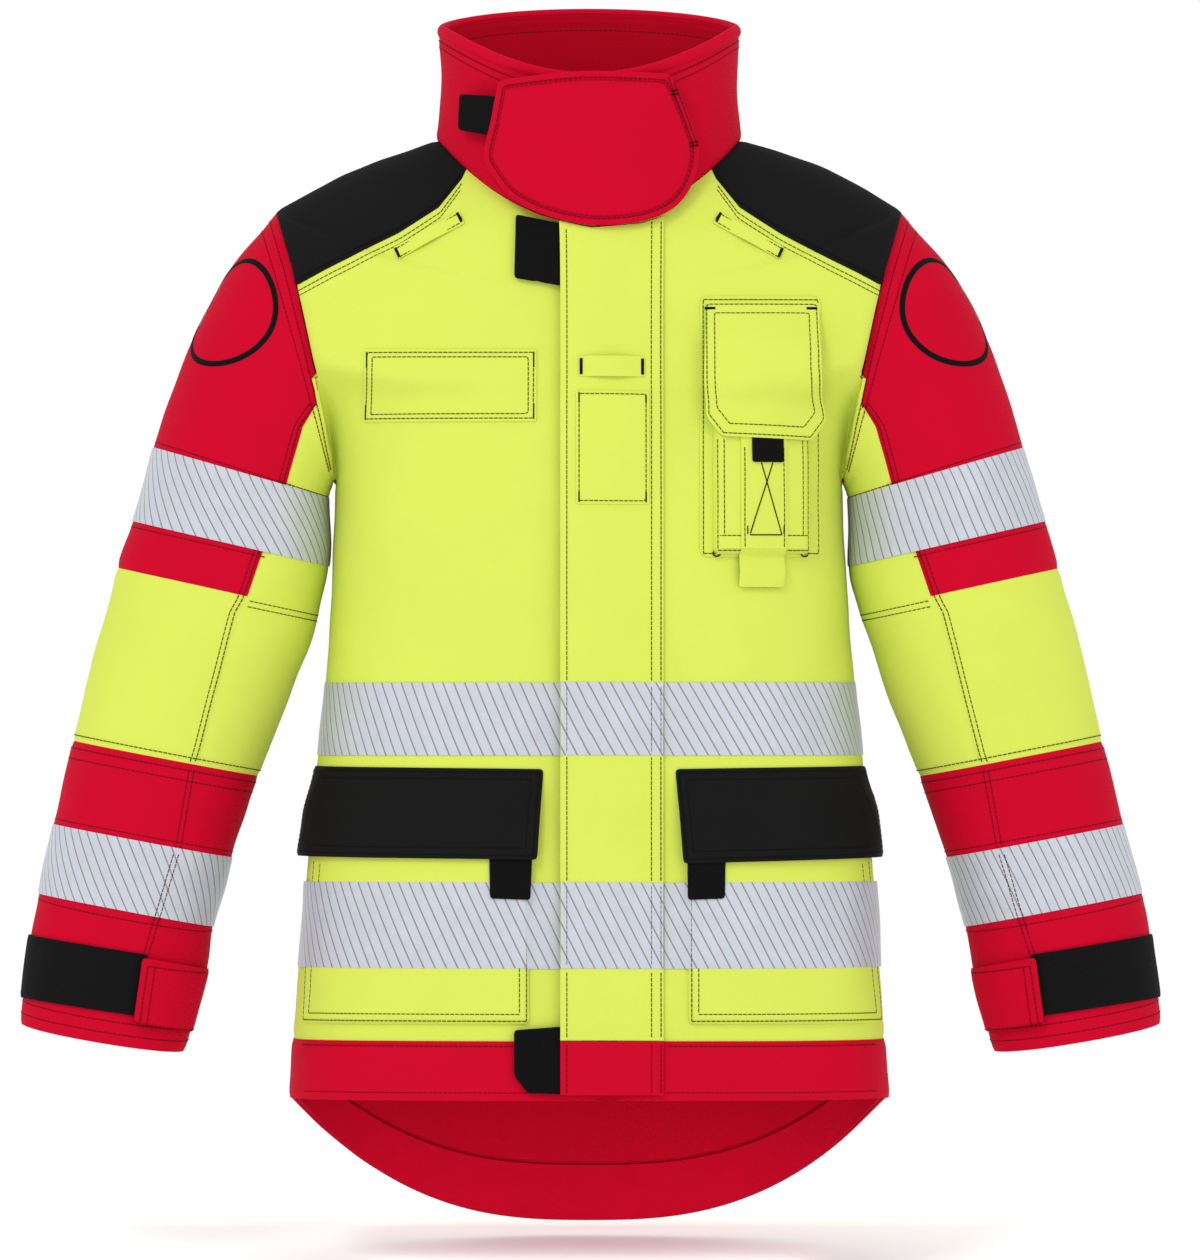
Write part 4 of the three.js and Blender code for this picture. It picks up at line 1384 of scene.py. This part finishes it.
# zip: woven tapes and the moulded teeth
zipSize = {"pitch": 3.2, "low": 112.0, "top": 748.0, "tapeHalf": 12.0}
for side, word in sides:
    x0, x1 = sorted((body["zipX"] + side * 0.6, body["zipX"] + side * zipSize["tapeHalf"]))
    patch = clothPatch(
        frontAt,
        evenAngles(frontAt, 0, 14, 3, 0.5),
        bodyRows[::2],
        rectangle(x0, x1, zipSize["low"], zipSize["top"]),
        limits=bodyLimits,
        lift=-3.4,
        thickness=0.8,
        dip=0,
    )
    rows = np.arange(zipSize["low"] + 2, zipSize["top"] - 2, zipSize["pitch"]) + (0.8 if side > 0 else -0.8)
    line = np.stack([np.full(len(rows), body["zipX"]), rows], 1)
    angle, v = bodyParameters(line)
    spots = frontAt(angle, v)
    spots += normalsOf(frontAt, angle, v, bodyLimits) * bodyRelief(spots)[:, None]
    points, faces = [], []
    inner, outer = side * -0.9, side * 3.6
    for spot in spots:
        base = len(points)
        for y in (-1.2, 2.4):
            for x, dz in ((inner, -0.55), (outer, -1.2), (outer, 1.2), (inner, 0.55)):
                points.append(spot + np.array([x, y, dz]))
        quads = [(0, 1, 2, 3), (7, 6, 5, 4), (0, 4, 5, 1), (1, 5, 6, 2), (2, 6, 7, 3), (3, 7, 4, 0)]
        for quad in quads:
            ids = [base + k for k in quad]
            faces.append(ids if side > 0 else ids[::-1])
    teeth = solidPatch(points, faces)
    clothPiece(f"zip_tape_{word}", [patch, teeth], ["zip"], sheet=False)
print("zip done")
for name in ("zip_slider", "zip_pull"):
    metalPiece = bpy.data.objects[name]
    metalPiece.data.materials.clear()
    metalPiece.data.materials.append(cloth["metal"])


# stitching
def onSurface(at, limits, lift, relief, mirror=1):
    flipped = np.array([mirror, 1, 1])

    def place(uv):
        u, v = np.asarray(uv, float).T
        points = at(u, v)
        normals = normalsOf(at, u, v, limits)
        height = (lift(points) if callable(lift) else lift) + relief(points * flipped)
        return (points + normals * np.reshape(height, (-1, 1))) * flipped, normals * flipped

    return place


def sleeveParameters(xz):
    x, z = np.asarray(xz, float).T
    x = np.abs(x)
    low, high = np.zeros(len(x)), np.full(len(x), float(last))
    for _ in range(36):
        t = (low + high) / 2
        outerX, outerZ, innerX, innerZ, _d = stationAt(t).T
        above = (outerX - innerX) * (z - innerZ) - (outerZ - innerZ) * (x - innerX) > 0
        high = np.where(above, t, high)
        low = np.where(above, low, t)
    across = np.hypot(x - innerX, z - innerZ) / np.hypot(outerX - innerX, outerZ - innerZ)
    angle = np.degrees(np.arcsin(np.clip(power(2 * across - 1, 1 / 0.92), -1, 1)))
    return np.stack([angle, 1 - t / last], 1)


def onSleeve(side, lift=0.0, front=True):
    surface = onSurface(sleeveAt, sleeveLimits, lift, sleeveReliefs[side], side)

    def place(xz):
        uv = sleeveParameters(xz)
        if not front:
            uv[:, 0] = 180 - uv[:, 0]
        return surface(uv)

    return place


onThroatUv = onSurface(throatAt, throatLimits, lambda p: 3.5, throatRelief)


def onThroat(xz):
    x, z = np.asarray(xz, float).T
    return onThroatUv(np.stack([np.degrees(np.arcsin(x / (body["neckHalfWidth"] + 4))), z], 1))


def ringOf(points):
    return list(points) + [points[0]]


# A line at one level v of a surface, from angle low to angle high.
def levelLine(low, high, count, v):
    return np.stack([np.linspace(low, high, count), np.full(count, v)], 1)


def threads(bodyName, hingeName=""):
    return [(bodyName, material, hingeName) for material in ("olive", "redThread", "blackThread")]


coatOlive, coatRed, coatBlack = threads("coat")
for side, _ in sides:
    for front in (True, False):
        line = [(side * (x - 1.5 if x > 100 else x), z - 4.5) for x, z in yoke[:4]]
        line = [(side * 236, 724)] + line
        stitchLine(coatOlive, line, onBody(0, front))
        stitchLine(coatOlive, [(x, z - 4) for x, z in line], onBody(0, front))
        stitchLine(coatBlack, [(x, z + 9) for x, z in line], onBody(0.4, front))
    for z in (142.0, 106.0):
        line = [(side * 222, z), (60 if side > 0 else 4, z)]
        stitchLine(coatRed, line, onBody(0.3))
stitchLine(coatRed, [(-222, 142.0), (222, 142.0)], onBody(0.3, False))
for v in (0.006, 0.012):
    place = onSurface(backAt, backLimits, 0.3, bodyRelief)
    stitchLine(coatRed, levelLine(96, 264, 260, v), place, ready=True)

stormKey, stormRed, stormBlack = threads("storm_flap", "storm")
onStorm = onBody(overStorm(0.05))
stormSeams = (-17.0, 48.3, 55.6)
for x in stormSeams:
    for low, high in ((149, 200.5), (270, 365.5), (425, 776 if x < 40 else 780)):
        stitchLine(stormKey, [(x, low), (x, high)], onStorm)
    stitchLine(stormRed, [(x, 106), (x, 143)], onBody(overStorm(0.45)))
for low, high, _ in tapeRows.values():
    for x in stormSeams:
        stitchLine(stormBlack, [(x, low + 3), (x, high - 3)], onBody(overStorm(0.75)), 0.4)
onBadge = onBody(overStorm(1.35))
for x in (-6, 41.5):
    stitchLine(stormBlack, [(x, 662), (x, 675)], onBody(overStorm(1.6)), 2.4, solid=True)
stitchLine(stormKey, ringOf(rectangle(-7.6, 44, 564, 647)), onBadge)

for outline in (rectangle(-172, -43, 628.5, 679.5), rectangle(-168, -47, 632, 676)):
    stitchLine(coatOlive, ringOf(outline), onBody(1.45))
for x, z in ((-172.3, 634), (-172.3, 674), (-42.7, 634), (-42.7, 674)):
    stitchLine(coatBlack, [(x, z - 6), (x, z + 6)], onBody(1.5), 1.0, solid=True)
for x, z in ((-7.6, 567), (-7.6, 644), (44, 567), (44, 644)):
    stitchLine(stormBlack, [(x, z - 4), (x, z + 4)], onBadge, 1.2, solid=True)
for side, word in sides:
    for ends in ([(150, 760.5), (146.5, 752.5)], [(102, 787.5), (98.5, 780.5)]):
        stitchLine(coatBlack, mirrored(ends, side), onBody(1.9), 2.2, solid=True)
    line = mirrored([(150.5, 759.5), (147.5, 753.2), (97.5, 781), (100.5, 787.3)], side)
    stitchLine(coatOlive, ringOf(line), onBody(1.75))

for word, outline in pockets.items():
    place = onBody(lambda p: 0.42 + np.maximum(pocketLift(p), 0.4))
    inner, low = outline[0]
    corner, bottom = outline[2][0], outline[3][0]
    for distance in (2.2, 7.5):
        across = distance if word == "left" else -distance
        line = [
            (inner + across, 284),
            (inner + across, low + distance),
            (bottom - across, low + distance),
            (corner - across, 284),
        ]
        for start in range(3):
            stitchLine(coatOlive, line[start : start + 2], place)
    flap = np.array(flapLines[word])
    centre = flap.mean(0)
    black = threads(f"pocket_flap_{word}", f"flap_{word}")[2]
    for share in (0.965, 0.90):
        ring = centre + (flap - centre) * [share, 1 - (1 - share) * 2.4]
        stitchLine(black, ringOf(ring), onBody(lambda p: flapLift(p) + 0.05))

for distance, z0 in ((2.5, 525.5), (7.0, 537.0)):
    place = onBody(lambda p: 2.35 + np.maximum(radioHeight(p), 0.6))
    for x in (radio["x0"] + distance, radio["x1"] - distance):
        stitchLine(coatOlive, [(x, 612), (x, z0)], place)
    stitchLine(coatOlive, [(radio["x0"] + 2.5, z0), (radio["x1"] - 2.5, z0)], place)
stitchLine(coatOlive, ringOf(rectangle(88.5, 177.5, 523.5, 720.5)), onBody(1.55))
strapTop = onBody(lambda p: 3.85 + radioHeight(p))
for x in (118, 147):
    stitchLine(coatOlive, [(x, 606), (x, 528)], strapTop)
for line in (
    [(130.3, 594), (145.1, 537.4)],
    [(138.8, 594), (121.7, 537.4)],
    [(121.7, 537.4), (145.1, 537.4)],
    [(120.1, 544.5), (120.1, 537.4)],
    [(146.6, 544.5), (146.6, 537.4)],
):
    stitchLine(coatBlack, line, strapTop, 1.0, solid=True)
for x in (98.5, 166):
    turn = np.linspace(0, 2 * math.pi, 25)
    spot = np.stack([x + 3 * np.cos(turn), 523.5 + 2.4 * np.sin(turn)], 1)
    stitchLine(coatBlack, spot, onBody(2.6), 1.2, True)
radioKey, _, radioBlack = threads("radio_flap", "radio")
onRadioFlap = onBody(lambda p: radioFlapLift(p) + 0.05)
outline, centre = np.array(radioOutline), np.array([134.0, 668.0])
for share in (0.955, 0.82):
    stitchLine(radioKey, ringOf(centre + (outline - centre) * share), onRadioFlap)
for x0, x1 in ((89.5, 99), (168.5, 178)):
    stitchLine(radioBlack, [(x0, 713.5), (x1, 713.5)], onRadioFlap, 2.2, solid=True)

_, throatKey, throatBlack = threads("throat_flap", "throat")
stitchLine(throatKey, ringOf(inset(throatEdge, 5.2, True)), onThroat)
stitchLine(throatKey, ringOf(inset(throatEdge, 7.0, True)), onThroat, 0.4)
stitchLine(throatKey, [(60, 893), (79.5, 840)], onThroat)
stitchLine(throatKey, [(64.5, 889), (83.5, 838)], onThroat)
for x, z in ((66, 882), (80, 842)):
    for dz in (-1.5, 1.5):
        stitchLine(throatBlack, [(x - 4, z + dz - 1), (x + 2.5, z + dz)], onThroat, 1.0, solid=True)
for v in (0.845, 0.905):
    for lift in (0.35, -5.35):
        place = onSurface(collarAt, collarLimits, lift, collarRelief)
        line = levelLine(collarLow + 1, collarHigh - 1, 900, v)
        stitchLine(coatRed, line, place, ready=True)

# a bound ring where a badge would go, on the outer front of the cap
badgeRing = {"angle": 54.0, "t": 1.42, "radius": 44.0, "width": 4.6}


# Points on the sleeve at the ring's radius from its middle, found by Newton steps.
def badgeRingLine():
    u, w = np.array([badgeRing["angle"]]), np.array([1 - badgeRing["t"] / last])
    centre = sleeveAt(u, w)[0]
    e1 = sleeveAt(u + 1, w)[0] - centre
    e1 /= np.linalg.norm(e1)
    e2 = sleeveAt(u, w + 0.01)[0] - centre
    e2 -= (e2 @ e1) * e1
    e2 /= np.linalg.norm(e2)
    turn = np.linspace(0, 2 * np.pi, 181)
    wanted = badgeRing["radius"] * np.stack([np.cos(turn), np.sin(turn)], 1)

    def flattened(u, w):
        return (sleeveAt(u, w) - centre) @ np.stack([e1, e2], 1)

    u, w = np.full(181, u[0]), np.full(181, w[0])
    for _ in range(30):
        now = flattened(u, w)
        slopes = [(flattened(u + 0.5, w) - now) / 0.5, (flattened(u, w + 0.002) - now) / 0.002]
        change = np.linalg.solve(np.stack(slopes, 2), (wanted - now)[:, :, None])[:, :, 0]
        u, w = u + np.clip(change[:, 0], -6, 6), w + np.clip(change[:, 1], -0.02, 0.02)
    return np.stack([u, w], 1)


for side, word in sides:
    olive, red, black = threads(f"sleeve_{word}", f"sleeve_{word}")
    oliveLow, redLow, _ = threads(f"sleeve_{word}")
    for front in (True, False):
        place = onSleeve(side, 0, front)
        for distance in (3.2, 7.2):
            stitchLine(red, [(x + distance, z) for x, z in sleeveSeam[:6]], place)
            line = [(272 + distance, 478), (300 + distance, 370), (302.9 + distance, 361)]
            stitchLine(olive, line, place)
            lower = [(303.5 + distance, 355), (314 + distance, 297), (341 + distance, 211)]
            stitchLine(redLow, lower[:2] if front else lower, place)
            if front:
                overTape = onSleeve(side, lambda p: 0.9 * (np.abs(p[:, 2] - 262) < 29))
                stitchLine(redLow, lower[1:], overTape)
        for drop in (3.0, 7.5):
            stitchLine(olive, [(263 + drop / 3, 490 - drop), (210, 478.3 - drop)], place)
    place = onSurface(sleeveAt, sleeveLimits, 0, sleeveReliefs[side], side)
    for t, low, high, key in (
        (0.16, -60, 240, red),
        (0.34, -60, 240, red),
        (7.93, -90, 270, oliveLow),
        (8.08, -90, 270, redLow),
        (8.2, -90, 270, redLow),
        (11.86, -90, 270, redLow),
        (11.72, -90, 270, redLow),
        (3.92, -90, 270, red),
        (5.1, -20, 200, red),
        (8.93, -90, 270, redLow),
        (10.08, -90, 270, redLow),
    ):
        stitchLine(key, levelLine(low, high, 400, 1 - t / last), place, ready=True)
    tabRed = threads(f"cuff_tab_{word}")[1]
    place = onSleeve(side, lambda p: cuffTabLift(p) + 0.1)
    for line in (
        [(303, 199.5), (345, 207.3)],
        [(344.5, 207), (351.2, 162.5)],
        [(308, 154), (351, 162.3)],
        [(339.5, 206), (346, 161.6)],
    ):
        stitchLine(tabRed, line, place)
    place = onSurface(sleeveAt, sleeveLimits, 0.1, sleeveReliefs[side], side)
    stitchLine(black, badgeRingLine(), place, badgeRing["width"], True, ready=True)

hinges = {
    "storm": stormHinge,
    "radio": radioHinge,
    "throat": throatHinge,
    "sleeve_right": sleeveHinge(-1),
    "sleeve_left": sleeveHinge(1),
}
for side, word in sides:
    hinges[f"flap_{word}"] = flapHinge(word)
sewnPieces(hinges)
print("stitching done", sum(len(v[1]) for v in sewn.values()))

# setting: pale floor, pale surround, soft lights, long lens level with the coat
low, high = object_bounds()
middle = (np.array(low) + np.array(high)) / 2
floorMesh = bpy.data.meshes.new("floor")
# level behind the tail, falling gently towards the camera so that the soft shadow shows
ground = {"fall": 0.16, "bend": 0.1, "front": -3.0, "back": 4.0, "halfWidth": 9, "below": 0.006}
floorTop = low[2] - ground["below"]
rows = (
    (ground["front"], floorTop - ground["fall"] * (ground["bend"] - ground["front"])),
    (ground["bend"], floorTop),
    (ground["back"], floorTop),
)
floorMesh.from_pydata(
    [(x, y, z) for y, z in rows for x in (-ground["halfWidth"], ground["halfWidth"])],
    [],
    [[0, 1, 3, 2], [2, 3, 5, 4]],
)
floor = bpy.data.objects.new("floor", floorMesh)
floorMaterial = plain("pale floor", colours["floor"], 0.9)
floorShader = next(n for n in floorMaterial.node_tree.nodes if n.type == "BSDF_PRINCIPLED")
floorShader.inputs["Emission Color"].default_value = (1, 1, 1, 1)
floorShader.inputs["Emission Strength"].default_value = 0.12
floorMesh.materials.append(floorMaterial)
bpy.context.scene.collection.objects.link(floor)

world = bpy.data.worlds.new("surround")
bpy.context.scene.world = world
world.use_nodes = True
background = world.node_tree.nodes["Background"]
background.inputs["Color"].default_value = (1, 1, 1, 1)
background.inputs["Strength"].default_value = 1.0


lights = {
    "key": {"place": (-1.5, -3.0, 2.2), "size": 1.2, "power": 42},
    "fill": {"place": (2.2, -3.4, 0.6), "size": 2.0, "power": 14},
    "tail": {"below": 0.004, "aim": (0, 0.12, 0.07), "size": (0.34, 0.05), "power": 0.14},
}


def softLight(name, place, aim):
    data = bpy.data.lights.new(f"{name} light", "AREA")
    data.energy = lights[name]["power"]
    if isinstance(lights[name]["size"], tuple):
        data.shape = "RECTANGLE"
        data.size, data.size_y = lights[name]["size"]
    else:
        data.shape = "DISK"
        data.size = lights[name]["size"]
    made = bpy.data.objects.new(f"{name} light", data)
    made.location = place
    made.rotation_euler = Vector(aim).to_track_quat("-Z", "Y").to_euler()
    bpy.context.scene.collection.objects.link(made)
    return made


for name in ("key", "fill"):
    place = Vector(lights[name]["place"])
    softLight(name, place, Vector(tuple(middle)) - place)
# the inside of the drop tail would be in the coat's own shade
place = (0, coatOrigin[1], coatOrigin[2] - lights["tail"]["below"])
softLight("tail", place, lights["tail"]["aim"]).visible_camera = False

view = {"sensor": 36.0, "distance": 16.0, "tall": 0.983, "across": 0.0086, "up": 0.4643}
cameraData = bpy.data.cameras.new("camera")
cameraData.sensor_fit = "VERTICAL"
cameraData.sensor_height = view["sensor"]
cameraData.lens = view["sensor"] * view["distance"] / view["tall"]
camera = bpy.data.objects.new("camera", cameraData)
camera.location = (view["across"], middle[1] - view["distance"], coatOrigin[2] + view["up"])
camera.rotation_euler = (math.radians(90), 0, 0)
cameraData.clip_end = 100
bpy.context.scene.collection.objects.link(camera)
bpy.context.scene.camera = camera
scene = bpy.context.scene
scene.view_settings.view_transform = "Standard"
scene.view_settings.look = "None"

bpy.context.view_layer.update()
for name, size in flatSizes.items():
    print("flat", name, size)
print("scene done", sum(len(o.data.polygons) for o in allPieces.values()))
